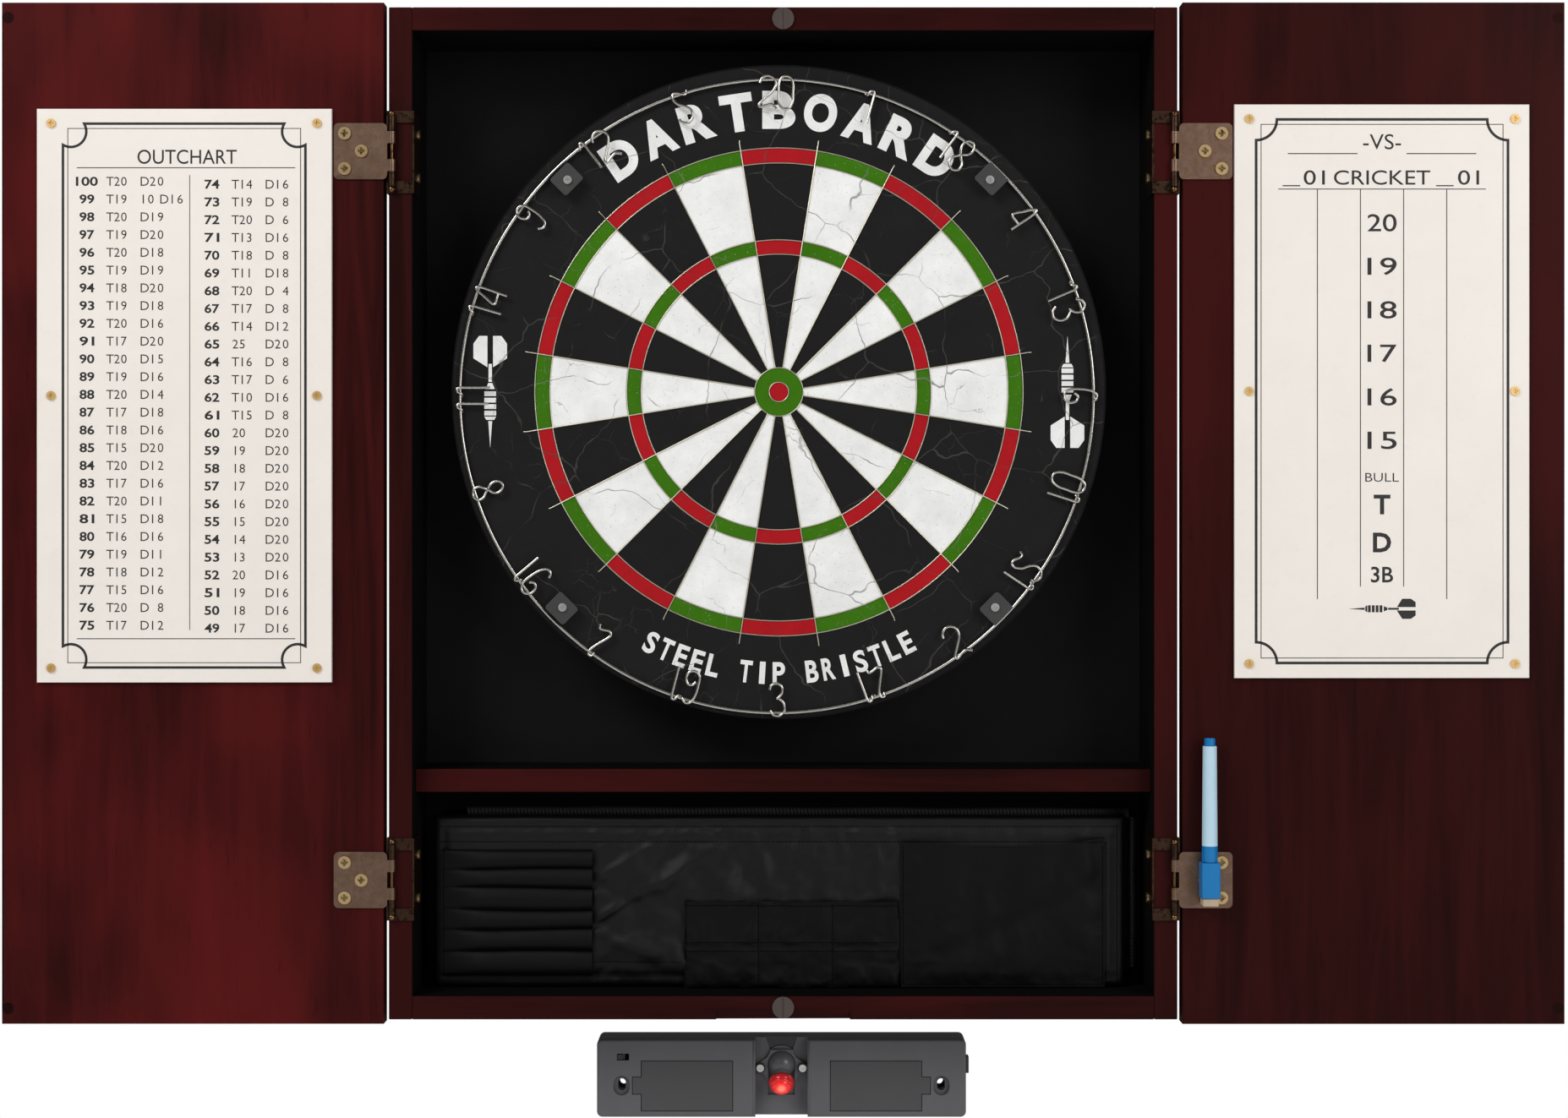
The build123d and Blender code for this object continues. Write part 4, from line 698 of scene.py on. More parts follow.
def frame_line(sheet, low, high, shift, radius, width, steps=14):
    """A printed border with a round bite out of each corner, whose centre is shifted inwards."""
    points = []
    reach = math.degrees(math.asin(shift / radius))
    for x, z, side_x, side_z in (
        (high[0], high[1], -1, -1),
        (low[0], high[1], 1, -1),
        (low[0], low[1], 1, 1),
        (high[0], low[1], -1, 1),
    ):
        bite = []
        for i in range(steps + 1):
            bend = math.radians(-reach + (90 + 2 * reach) * i / steps)
            bite.append((
                x + side_x * (shift + radius * math.cos(bend)),
                z + side_z * (shift + radius * math.sin(bend)),
            ))
        points += bite if side_x * side_z < 0 else bite[::-1]
    sheet.strip(points, width, True)


def border(sheet, low, high, inset, shift, radius, width, gap):
    """A chart's border: a thick line with bitten corners and a thin rectangle inside it."""
    left, right = low.x + inset[0], high.x - inset[0]
    foot, top = low.z + inset[1], high.z - inset[1]
    frame_line(sheet, (left, foot), (right, top), shift, radius, width)
    left, right, foot, top = left + gap, right - gap, foot + gap, top - gap
    sheet.strip([(left, foot), (right, foot), (right, top), (left, top)], 0.55 * MM, True)


def dart_sign(sheet, x, z, length, turn):
    """A plain dart: needle point, gripped barrel, thin shaft and a split flight."""
    cosine, sine = math.cos(turn), math.sin(turn)
    half = length / 2

    def draw(*corners):
        sheet.polygon([
            (x + (u * cosine - v * sine) * half, z + (u * sine + v * cosine) * half) for u, v in corners
        ])

    draw((-1.0, 0.0), (-0.52, -0.035), (-0.52, 0.035))
    draw((-0.5, -0.07), (-0.44, -0.105), (-0.44, 0.105), (-0.5, 0.07))
    for i in range(4):
        start = -0.42 + 0.115 * i
        draw((start, -0.105), (start + 0.085, -0.105), (start + 0.085, 0.105), (start, 0.105))
    draw((0.05, -0.08), (0.16, -0.035), (0.16, 0.035), (0.05, 0.08))
    draw((0.18, -0.03), (0.5, -0.03), (0.5, 0.03), (0.18, 0.03))
    draw((0.44, 0.05), (0.56, 0.05), (1.0, 0.05), (1.0, 0.2), (0.86, 0.3), (0.6, 0.3))
    draw((0.44, -0.05), (0.6, -0.3), (0.86, -0.3), (1.0, -0.2), (1.0, -0.05))


CHECKOUTS = (
    "100 T20 D20", "99 T19 10_D16", "98 T20 D19", "97 T19 D20", "96 T20 D18", "95 T19 D19",
    "94 T18 D20", "93 T19 D18", "92 T20 D16", "91 T17 D20", "90 T20 D15", "89 T19 D16",
    "88 T20 D14", "87 T17 D18", "86 T18 D16", "85 T15 D20", "84 T20 D12", "83 T17 D16",
    "82 T20 D11", "81 T15 D18", "80 T16 D16", "79 T19 D11", "78 T18 D12", "77 T15 D16",
    "76 T20 D8", "75 T17 D12",
    "74 T14 D16", "73 T19 D8", "72 T20 D6", "71 T13 D16", "70 T18 D8", "69 T11 D18", "68 T20 D4",
    "67 T17 D8", "66 T14 D12", "65 25 D20", "64 T16 D8", "63 T17 D6", "62 T10 D16", "61 T15 D8",
    "60 20 D20", "59 19 D20", "58 18 D20", "57 17 D20", "56 16 D20", "55 15 D20", "54 14 D20",
    "53 13 D20", "52 20 D16", "51 19 D16", "50 18 D16", "49 17 D16",
)
INK_RISE = 0.05 * MM


def spaced(sheet, words, x, z, pitch):
    """Light characters at an even pitch, the first of them centred on x."""
    for place, letter in enumerate(words):
        if letter != " ":
            sheet.text(letter, x + place * pitch, z, 6.1 * MM, -0.001)


def out_chart_print():
    """The checkout table: for each score left, the darts that finish it."""
    low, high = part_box("out_chart")
    sheet = Print(low.y - INK_RISE)
    middle = (low.x + high.x) / 2
    border(sheet, low, high, (18 * MM, 10.3 * MM), 5.4 * MM, 10.6 * MM, 1.8 * MM, 3.3 * MM)
    title_z = high.z - 33.0 * MM
    sheet.text("OUTCHART", middle + 2 * MM, title_z, 9.8 * MM, 0.002, width=68 * MM, grain=5)
    rule_high = high.z - 40.5 * MM
    rule_low = low.z + 30.0 * MM
    for z in (rule_high, rule_low):
        sheet.strip([(middle - 73.5 * MM, z), (middle + 76 * MM, z)], 0.6 * MM)
    centre_x = middle + 3.8 * MM
    sheet.strip([(centre_x, rule_high - 5 * MM), (centre_x, rule_low + 6 * MM)], 0.5 * MM)
    rows = len(CHECKOUTS) // 2
    step = (rule_high - rule_low - 18.5 * MM) / (rows - 1)
    for index, line in enumerate(CHECKOUTS):
        column, row = divmod(index, rows)
        score, first, last = line.split()
        left = middle + (-66.6 * MM if column == 0 else 19.0 * MM)
        z = rule_high - (9.3 + 2.0 * column) * MM - row * step
        pitch = (20.8 if column == 0 else 21.0) * MM
        sheet.text(score, left, z, 6.4 * MM, 0.024, width=(4.9 * len(score) + 0.4) * MM)
        spaced(sheet, first, left + pitch - 5.0 * MM, z, 4.75 * MM)
        if "_" in last:
            spaced(sheet, "10", left + 38.6 * MM, z, 5.2 * MM)
            last = last[3:]
            spaced(sheet, last, left + 53.0 * MM, z, 5.4 * MM)
        else:
            spaced(sheet, last[0] + last[1:].rjust(2), left + 39.6 * MM, z, 5.4 * MM)
    sheet.finish("out_chart_print", "left_door", "chart_white", print_ink)


def score_chart_print():
    """The scoring table: two players' columns on each side of the cricket numbers."""
    low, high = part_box("score_chart")
    sheet = Print(low.y - INK_RISE)
    middle = (low.x + high.x) / 2
    border(sheet, low, high, (14.8 * MM, 10.4 * MM), 0.0, 14.2 * MM, 1.9 * MM, 3.4 * MM)
    versus_z = high.z - 25.7 * MM
    sheet.text("-VS-", middle, versus_z, 10.5 * MM, 0.0, width=26 * MM, grain=5)
    player_z = high.z - 33.8 * MM
    heading_z = high.z - 50.2 * MM
    rule_z = high.z - 58.1 * MM
    for side in (-1, 1):
        ends = [(middle + side * d * MM, player_z) for d in (16.8, 64.5)]
        sheet.strip(ends, 0.7 * MM)
        sheet.text("01", middle + (59.2 if side > 0 else -46.4) * MM, heading_z, 10 * MM, 0.002,
                   width=14.5 * MM, grain=5)
        blank = middle + (37.0 if side > 0 else -68.0) * MM
        sheet.strip([(blank, heading_z - 5.6 * MM), (blank + 12 * MM, heading_z - 5.6 * MM)], 0.8 * MM)
        for reach, foot in ((14.8, 330.3), (44.3, 338.9)):
            x = middle + side * reach * MM
            sheet.strip([(x, rule_z), (x, high.z - foot * MM)], 0.6 * MM)
    sheet.text("CRICKET", middle, heading_z, 10 * MM, 0.002, width=66 * MM, grain=5)
    sheet.strip([(middle - 71 * MM, rule_z), (middle + 71 * MM, rule_z)], 0.6 * MM)
    for row, number in enumerate(range(20, 14, -1)):
        z = high.z - 81.2 * MM - row * 29.8 * MM
        sheet.text(str(number), middle, z, 12 * MM, 0.004, width=20 * MM, grain=6)
    sheet.text("BULL", middle, high.z - 255.5 * MM, 6 * MM, -0.004, width=23 * MM)
    sheet.text("T", middle, high.z - 274.1 * MM, 13.5 * MM, 0.03)
    sheet.text("D", middle, high.z - 300.1 * MM, 13.5 * MM, 0.03)
    sheet.text("3B", middle, high.z - 322.1 * MM, 11 * MM, 0.014)
    dart_sign(sheet, middle, high.z - 345.5 * MM, 46 * MM, 0.0)
    sheet.finish("score_chart_print", "right_door", "chart_white", print_ink)


out_chart_print()
score_chart_print()

# ---------------------------------------------------------------- dartboard


def board_spot(reach, degrees):
    bend = math.radians(degrees)
    return BOARD_X + reach * math.cos(bend), reach * math.sin(bend)


def board_print():
    """Plain words and dart signs in white on the board's black surround."""
    paint = Print(BOARD_FACE - 0.06 * MM)
    words = "DARTBOARD"
    spread = 68.0
    for index, letter in enumerate(words):
        bend = 90 + spread / 2 - spread * index / (len(words) - 1)
        x, z = board_spot(196.5 * MM, bend)
        paint.text(letter, x, z, 26.5 * MM, 0.052, math.radians(bend - 90), width=23 * MM, grain=8)
    words = "STEEL TIP BRISTLE"
    spread = 54.0
    for index, letter in enumerate(words):
        if letter == " ":
            continue
        bend = 270 - spread / 2 + spread * index / (len(words) - 1)
        x, z = board_spot(196.0 * MM, bend)
        width = (4.0 if letter == "I" else 8.6) * MM
        paint.text(letter, x, z, 15.5 * MM, 0.03, math.radians(bend + 90), width=width, grain=6)
    for bend, turn in ((180, 90), (0, -90)):
        x, z = board_spot(201.0 * MM, bend)
        dart_sign(paint, x, z, 78 * MM, math.radians(turn))
    paint.finish("board_print", "dartboard", "sisal", white_paint)


def spider():
    """Round wires over the face: the spokes, the scoring rings and both bull rings."""
    y = BOARD_FACE - 0.35 * MM
    runs = []
    for reach in (INNER_BULL, OUTER_BULL, *TREBLE, *DOUBLE):
        runs.append((circle((BOARD_X, 0.0), reach, y), True))
    random.seed(7)
    for index in range(SECTORS):
        bend = 360 * (index + 0.5) / SECTORS
        start = board_spot(OUTER_BULL, bend)
        reach = DOUBLE[1] + random.uniform(7.0, 10.0) * MM
        near_end = board_spot(reach - 2 * MM, bend)
        end = board_spot(reach, bend + random.uniform(-0.15, 0.15))
        runs.append(([
            (start[0], y - 0.15 * MM, start[1]),
            (near_end[0], y - 0.15 * MM, near_end[1]),
            (end[0], y + 0.45 * MM, end[1]),
        ], False))
    mesh = wires("spider", runs, 0.42 * MM)
    piece("spider", mesh, "dartboard", spider_steel, ["spider_wires"])


# Each digit is one bent wire, 23 high about its middle: millimetres across, up and, where bent, back.
DIGIT_LINES = {
    "0": ([(-5.2, 0), (-5.1, 6), (-3.2, 10.6), (0, 11.8), (3.2, 10.6), (5.1, 6), (5.2, 0), (5.1, -6),
           (3.2, -10.6), (0, -11.8), (-3.2, -10.6), (-5.1, -6)], True),
    "1": ([(0.6, -11.5), (0.3, -4), (0, 4), (-0.2, 9.2), (-1.3, 11.3), (-3.2, 10.6), (-4.2, 8.2, 0.6),
           (-5.2, 7.6, 2.2), (-6.6, 8.6, 3.0)], False),
    "2": ([(-5.8, 6.3), (-4.3, 9.6), (-0.3, 11.6), (4.0, 9.8), (5.7, 5.5), (3.6, 0.8), (-2.4, -5.0),
           (-5.9, -8.7), (-4.9, -10.6), (-1.0, -9.3), (2.8, -8.6), (4.8, -10.0), (6.6, -11.6)], False),
    "3": ([(-4.9, 7.2), (-3.4, 10.4), (0.6, 11.5), (4.0, 9.0), (3.8, 4.6), (1.4, 1.6), (0.2, 0.9),
           (2.0, 0.4), (5.0, -3.0), (5.0, -8.0), (1.6, -11.4), (-2.6, -10.8), (-5.0, -7.6)], False),
    "4": ([(2.6, -11.8), (2.7, -5), (2.9, 4), (2.6, 9.6), (1.2, 11.4), (-0.6, 9.0), (-3.4, 2.2),
           (-5.8, -3.2), (-5.2, -5.4), (-1.4, -5.4), (2.2, -5.2, 0.2)], False),
    "5": ([(6.4, 10.4, 1.6), (5.2, 8.2, 0.8), (2.6, 8.6), (-0.8, 10.6), (-3.8, 10.6), (-4.8, 7.4),
           (-2.4, 2.8), (2.2, -0.6), (4.8, -4.6), (3.6, -9.4), (-0.4, -11.5), (-4.4, -9.4),
           (-5.2, -7.0)], False),
    "6": ([(3.9, 8.2), (2.2, 11.0), (-1.2, 11.2), (-3.8, 7.0), (-4.8, 0.5), (-4.7, -6.5), (-2.4, -10.9),
           (2.0, -11.2), (4.7, -7.4), (3.6, -3.0), (0.4, -1.8), (-2.0, -4.2)], False),
    "7": ([(-5.6, 11.4), (-4.4, 8.8), (-1.4, 9.2), (2.4, 10.6), (5.0, 9.0), (3.8, 5.0), (0.2, -2.4),
           (-1.8, -8.0), (-1.2, -11.0), (1.2, -11.2, 0.6), (1.6, -8.6, 2.0)], False),
    "8": ([(0.1, 0.2, -0.5), (3.4, 3.2), (4.3, 7.4), (1.4, 11.3), (-2.6, 10.4), (-4.0, 6.4), (-2.6, 2.4),
           (0.6, -1.4, 0.5), (4.2, -5.0), (4.4, -9.4), (0.4, -11.7), (-3.8, -9.6), (-4.4, -5.4),
           (-2.0, -2.0)], True),
    "9": ([(2.4, 4.4), (0.6, 1.8), (-2.4, 1.8), (-4.7, 5.4), (-3.8, 9.8), (0.2, 11.5), (3.9, 9.0),
           (4.8, 3.0), (4.8, -4.0), (3.0, -10.0), (-0.6, -11.4), (-3.8, -8.8)], False),
}
CLOCKWISE_FROM_TOP = (20, 1, 18, 4, 13, 6, 10, 15, 2, 17, 3, 19, 7, 16, 8, 11, 14, 9, 12, 5)


def number_ring():
    """The loose ring that hangs on the face, and its numbers, each digit bent from one wire."""
    low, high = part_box("number_ring")
    ring_x = (low.x + high.x) / 2
    ring_z = (low.z + high.z) / 2
    wire = 1.15 * MM
    reach = (high.x - low.x) / 2 - wire
    ring_y = high.y - wire
    front = ring_y - 1.9 * MM
    rings = [(circle((ring_x, ring_z), reach, ring_y, 220), True)]
    digits = []
    random.seed(3)
    for index, number in enumerate(CLOCKWISE_FROM_TOP):
        bend = 90 - 360 * index / SECTORS
        upside = number in (10, 15, 2, 17, 3, 19, 7, 16, 8)
        turn = math.radians(bend + 90 if upside else bend - 90) + math.radians(random.uniform(-3, 3))
        x = ring_x + (reach - 9.3 * MM) * math.cos(math.radians(bend))
        z = ring_z + (reach - 9.3 * MM) * math.sin(math.radians(bend))
        text = str(number)
        for place, digit in enumerate(text):
            points, closed = DIGIT_LINES[digit]
            shift = (place - (len(text) - 1) / 2) * (11.2 if "1" in text else 12.6)
            flip = -1 if upside and digit == "1" else 1
            scale = random.uniform(0.94, 1.02)
            line = []
            for across, up, *back in points:
                u = (across * scale * flip + shift) * MM
                v = up * scale * flip * MM
                line.append((
                    x + u * math.cos(turn) - v * math.sin(turn),
                    front + sum(back) * MM,
                    z + u * math.sin(turn) + v * math.cos(turn),
                ))
            digits.append((smooth_path(line, 7, closed), closed))
    ring = wires("number_ring_wire", rings, wire, 4)
    numbers = wires("number_wires", digits, 0.98 * MM, 3)
    piece("number_ring_wire", ring, "number_ring", wire_steel, ["number_ring"])
    piece("number_wires", numbers, "number_ring", wire_steel)


board_print()
spider()
number_ring()
for index in range(1, 5):
    rounded(f"ring_clip_{index}", 0.45)

# ---------------------------------------------------------------- organiser: sewn black nylon

pad_low, pad_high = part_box("organizer_pad")
PAD_FRONT = pad_low.y
PANEL_BACK = PAD_FRONT + 9.0 * MM
BODY_FRONT = PAD_FRONT + 11.0 * MM
CLOTH_FRAMES = 16


def ripple(x, z, scale, seed):
    """Smooth noise from -1 to 1 at a place on the cloth."""
    return noise.noise(Vector((x * scale, z * scale, seed)))


def step(value):
    value = min(1.0, max(0.0, value))
    return value * value * (3 - 2 * value)


def buckled(width, height, columns, rows, held, slack, push, soft):
    """How far a sheet stands off its plane when it is held along its seams, is a little too large
    for them and is pushed from behind: a cloth simulation, as rows of offsets in metres."""
    spots = []
    for j in range(rows + 1):
        for i in range(columns + 1):
            x, z = width * i / columns, height * j / rows
            spots.append((x, -0.0004 * ripple(x, z, 60.0, slack * 100), z))
    stride = columns + 1
    faces = [
        (j * stride + i, j * stride + i + 1, (j + 1) * stride + i + 1, (j + 1) * stride + i)
        for j in range(rows) for i in range(columns)
    ]
    mesh = bpy.data.meshes.new("cloth")
    mesh.from_pydata(spots, [], faces)
    cloth = bpy.data.objects.new("cloth", mesh)
    bpy.context.scene.collection.objects.link(cloth)
    group = cloth.vertex_groups.new(name="held")
    fixed = [j * stride + i for j in range(rows + 1) for i in range(columns + 1)
             if held(i / columns, j / rows)]
    group.add(fixed, 1.0, "REPLACE")
    modifier = cloth.modifiers.new("cloth", "CLOTH")
    settings = modifier.settings
    settings.quality = 5
    settings.mass = 0.12
    settings.tension_stiffness = 25
    settings.compression_stiffness = 25
    settings.shear_stiffness = 12
    settings.bending_stiffness = soft
    settings.vertex_group_mass = "held"
    settings.shrink_min = -slack
    settings.use_pressure = True
    settings.uniform_pressure_force = push
    settings.effector_weights.gravity = 0.0
    modifier.collision_settings.use_collision = False
    modifier.point_cache.frame_start = 1
    modifier.point_cache.frame_end = CLOTH_FRAMES
    for frame_number in range(1, CLOTH_FRAMES + 1):
        bpy.context.scene.frame_set(frame_number)
    settled = cloth.evaluated_get(bpy.context.evaluated_depsgraph_get()).to_mesh()
    places = np.empty(len(settled.vertices) * 3)
    settled.vertices.foreach_get("co", places)
    places = places.reshape(rows + 1, columns + 1, 3)
    bpy.data.objects.remove(cloth)
    bpy.data.meshes.remove(mesh)
    bpy.context.scene.frame_set(1)
    return places[:, :, 1]


def sheet_mesh(name, spots, thick, back=None):
    """A closed piece of cloth from rows of points: its own thickness, or a flat back at a depth."""
    rows, columns = len(spots), len(spots[0])
    shape = bmesh.new()
    front = [[shape.verts.new(p) for p in line] for line in spots]
    rear = [
        [shape.verts.new((p[0], p[1] + thick if back is None else back, p[2])) for p in line]
        for line in spots
    ]
    for j in range(rows - 1):
        for i in range(columns - 1):
            shape.faces.new([front[j][i], front[j][i + 1], front[j + 1][i + 1], front[j + 1][i]])
            shape.faces.new([rear[j][i], rear[j + 1][i], rear[j + 1][i + 1], rear[j][i + 1]])
    for j in range(rows - 1):
        shape.faces.new([front[j][0], front[j + 1][0], rear[j + 1][0], rear[j][0]])
        shape.faces.new([front[j][-1], rear[j][-1], rear[j + 1][-1], front[j + 1][-1]])
    for i in range(columns - 1):
        shape.faces.new([front[0][i], rear[0][i], rear[0][i + 1], front[0][i + 1]])
        shape.faces.new([front[-1][i], front[-1][i + 1], rear[-1][i + 1], rear[-1][i]])
    return shaded(mesh_of_shape(shape, name), 70)


def grid(columns, rows, spot):
    """Rows of points, from a function of the shares across and up and of the column and row."""
    return [[spot(i / columns, j / rows, i, j) for i in range(columns + 1)] for j in range(rows + 1)]


def simulated(width, height, columns, rows, held, slack, push, cap, soft):
    return cap * np.tanh(buckled(width, height, columns, rows, held, slack, push, soft) / cap)


SLEEVES_LOW, SLEEVES_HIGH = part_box("organizer_dart_sleeves")
SLEEVES_RIGHT = SLEEVES_HIGH.x
SMALL_LOW, SMALL_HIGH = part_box("organizer_small_pockets")
LARGE_LOW, LARGE_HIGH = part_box("organizer_large_pocket")
HEM = 7.5 * MM
BAND = 18.0 * MM


# Each drawn fold of the middle: its ends right of and below the sleeves' top corner, its half width
# and its height, in millimetres.
FOLDS = (
    ((0.0, 36.0), (44.0, 6.0), 3.6, 2.0), ((0.0, 62.0), (88.0, 12.0), 5.0, 3.0),
    ((-2.0, 34.0), (34.0, 50.0), 3.2, -1.8), ((4.0, 70.0), (62.0, 92.0), 5.4, 2.6),
    ((8.0, 64.0), (40.0, 40.0), 3.0, -1.8), ((70.0, 8.0), (104.0, 50.0), 7.0, 2.2),
    ((100.0, 20.0), (118.0, 48.0), 6.0, -1.6), ((112.0, 8.0), (132.0, 46.0), 6.5, 2.0),
)


def drawn_folds(x, z):
    """The long soft folds that pull across the middle from the sewn edge of the sleeves."""
    across = (x - SLEEVES_RIGHT) / MM
    down = (SLEEVES_HIGH.z + 12 * MM - z) / MM
    rise = 0.0
    for start, end, half, high in FOLDS:
        run = Vector(end) - Vector(start)
        offset = Vector((across, down)) - Vector(start)
        share = min(1.0, max(0.0, offset.dot(run) / run.length_squared))
        gap = (offset - run * share).length
        spread = half * (0.55 + 0.9 * share)
        rise += high * MM * math.exp(-(gap / spread) ** 2) * (1 - 0.35 * share)
    return rise


def front_panel():
    """The padded front: a bound edge, a hemmed top band and slack cloth that creases."""
    width = pad_high.x - pad_low.x
    height = pad_high.z - pad_low.z
    columns, rows = 194, 48
    sew_left = (SLEEVES_RIGHT - pad_low.x) / width
    small_right = (SMALL_HIGH.x - pad_low.x) / width
    small_left = (SMALL_LOW.x - pad_low.x) / width
    pocket_top = (SMALL_HIGH.z - pad_low.z) / height

    def held(u, v):
        x, z = u * width, v * height
        edge = min(x, width - x, z, height - z) < HEM
        band = abs(z - (height - BAND)) < 1.6 * MM and int(u * columns) % 4 < 2
        sleeve = u < sew_left
        pocket = small_left < u < small_right and v < pocket_top and int(u * columns) % 3 < 2
        return edge or band or sleeve or pocket or u > small_right

    offsets = simulated(width, height, columns, rows, held, 0.02, 0.8, 2.4 * MM, 0.6)

    def spot(u, v, i, j):
        x, z = pad_low.x + u * width, pad_low.z + v * height
        inset = min(u * width, (1 - u) * width, v * height, (1 - v) * height)
        rolled = 3.2 * MM * (1 - step(inset / (3.4 * MM))) ** 1.5
        gather = 0.35 * MM * ripple(x, z, 330.0, 9.0) * step(inset / HEM)
        groove = 0.8 * MM * math.exp(-((inset - HEM) / (0.9 * MM)) ** 2)
        over = height * (1 - v) - BAND
        groove += 0.9 * MM * math.exp(-(over / (1.0 * MM)) ** 2) * step(inset / HEM - 0.8)
        puff = 0.9 * MM * step((inset - HEM) / (5 * MM))
        free = step((x - SLEEVES_RIGHT) / (3 * MM)) * step(over / (3 * MM))
        puff += drawn_folds(x, z) * free * step((inset - HEM) / (4 * MM))
        in_band = step(-over / (2 * MM)) * step((inset - HEM) / (2 * MM))
        puff += 0.9 * MM * in_band * ripple(x, 0.25 * z, 150.0, 31.0)
        low_band = step((15 * MM - v * height) / (2 * MM)) * step((x - SLEEVES_RIGHT) / (3 * MM))
        puff += 1.0 * MM * low_band * ripple(x - 0.8 * z, 0.0, 170.0, 37.0)
        y = PAD_FRONT + 1.6 * MM - puff + rolled + groove + gather + offsets[j, i]
        sag = 0.7 * MM * ripple(x, 0.0, 14.0, 5.0) * (2 * v - 1)
        return x, y, z + sag

    mesh = sheet_mesh("organizer_front", grid(columns, rows, spot), 0.0, PANEL_BACK)
    made = piece("organizer_front", mesh, "cabinet", nylon, ["organizer_pad"])


def rear_body():
    """The folded rest of the organiser, seen above and beside the front panel."""
    low_x, high_x = pad_low.x + 8 * MM, pad_high.x + 6.5 * MM
    low_z, high_z = pad_low.z + 1.5 * MM, pad_high.z + 1.5 * MM
    columns, rows = 150, 30

    def spot(u, v, i, j):
        x, z = low_x + u * (high_x - low_x), low_z + v * (high_z - low_z)
        inset = min(x - low_x, high_x - x, z - low_z, high_z - z)
        rolled = 6.0 * MM * (1 - step(inset / (6.0 * MM))) ** 1.6
        wave = 0.8 * MM * ripple(x, z, 40.0, 12.0)
        sag = 1.2 * MM * ripple(x, 0.0, 9.0, 15.0) * v
        return x, BODY_FRONT + rolled + wave, z + sag

    mesh = sheet_mesh("organizer_body", grid(columns, rows, spot), 0.0, pad_high.y)
    made = piece("organizer_body", mesh, "cabinet", nylon)


def ribbed_tape(name, start, end, width, y):
    """A woven tape folded over an edge, ribbed across its length."""
    start, end = Vector(start), Vector(end)
    length = (end - start).length
    along = (end - start) / length
    side = Vector((-along.z, 0, along.x))
    columns = int(length / (0.55 * MM))

    def spot(u, v, i, j):
        far = length * i / columns
        crown = math.sin(math.pi * v)
        rib = 0.28 * MM * math.sin(2 * math.pi * (far + 1.6 * MM * v) / (2.5 * MM)) * crown
        place = start + along * far + side * (width * (v - 0.5))
        drift = 0.5 * MM * ripple(far, 0.0, 22.0, width * 900)
        return place.x + side.x * drift, y - 1.1 * MM * crown ** 0.6 + rib, place.z + side.z * drift

    spots = grid(columns, 8, spot)
    if (end - start).z != 0:
        spots.reverse()
    mesh = sheet_mesh(name, spots, 1.2 * MM)
    piece(name, mesh, "cabinet", nylon_tape)


def dart_sleeves():
    """Six flat sleeves sewn at the left and closed below, open to the right, each over the next."""
    low, high = SLEEVES_LOW, SLEEVES_HIGH
    folds = (0.0, 0.15, 0.3, 0.475, 0.63, 0.805, 1.0)
    columns, per_band = 84, 13
    spots = []
    for band in range(6):
        for j in range(per_band):
            t = j / (per_band - 1)
            line = []
            for i in range(columns + 1):
                u = i / columns
                top = folds[band] + 0.008 * math.sin(4.0 * u + 1.7 * band) * (band > 0)
                foot = folds[band + 1] + 0.008 * math.sin(4.0 * u + 1.7 * (band + 1)) * (band < 5)
                share = top + (foot - top) * t
                x = low.x + u * (high.x - low.x)
                z = high.z - share * (high.z - low.z)
                open_share = 0.25 + 0.75 * step((u - 0.02) / 0.3)
                arch = math.sin(math.pi * min(1.0, 0.12 + 0.88 * t)) ** 0.7
                lean = 0.35 + 0.65 * t
                swell = 5.2 * MM * arch * lean * open_share
                slack = 0.5 * MM * ripple(x, z, 55.0, 20.0 + band)
                tuck = 1.6 * MM * step((t - 0.9) / 0.1) + 1.2 * MM * (1 - step(t / 0.14))
                y = PAD_FRONT - 0.6 * MM - swell + slack * (1 - t) + tuck
                line.append((x, min(y, PAD_FRONT - 0.3 * MM), z))
            spots.append(line)
    spots.reverse()
    mesh = sheet_mesh("dart_sleeves", spots, 0.7 * MM)
    made = piece("dart_sleeves", mesh, "cabinet", pocket_nylon, ["organizer_dart_sleeves"])


def small_pockets():
    """Two rows of three little pockets in one sheet, sewn down between them."""
    low, high = SMALL_LOW, SMALL_HIGH
    width, height = high.x - low.x, high.z - low.z
    columns, rows = 90, 36
    seams = (0.0, 0.345, 0.69, 1.0)
    shelf = 0.47

    def held(u, v):
        stitched = any(abs(u - seam) * width < 1.2 * MM for seam in seams)
        return stitched or v * height < 1.6 * MM or abs(v - shelf) * height < 1.2 * MM

    offsets = simulated(width, height, columns, rows, held, 0.02, 0.8, 1.5 * MM, 0.5)

    def spot(u, v, i, j):
        x, z = low.x + u * width, low.z + v * height
        seam = min(abs(u - s) * width for s in seams)
        dip = math.exp(-(seam / (1.5 * MM)) ** 2)
        level = min(v * height, abs(v - shelf) * height)
        dip = max(dip, math.exp(-(level / (1.5 * MM)) ** 2))
        lip = 0.8 * MM * step((v - 0.93) / 0.07)
        stand = 1.9 * MM + lip
        y = PAD_FRONT - stand + 0.9 * MM * dip + offsets[j, i] * (1 - 0.7 * dip)
        return x, min(y, PAD_FRONT - 0.5 * MM), z + 0.5 * MM * ripple(x, 0, 40.0, 2.0) * v

    mesh = sheet_mesh("small_pockets", grid(columns, rows, spot), 0.6 * MM)
    made = piece("small_pockets", mesh, "cabinet", pocket_nylon, ["organizer_small_pockets"])


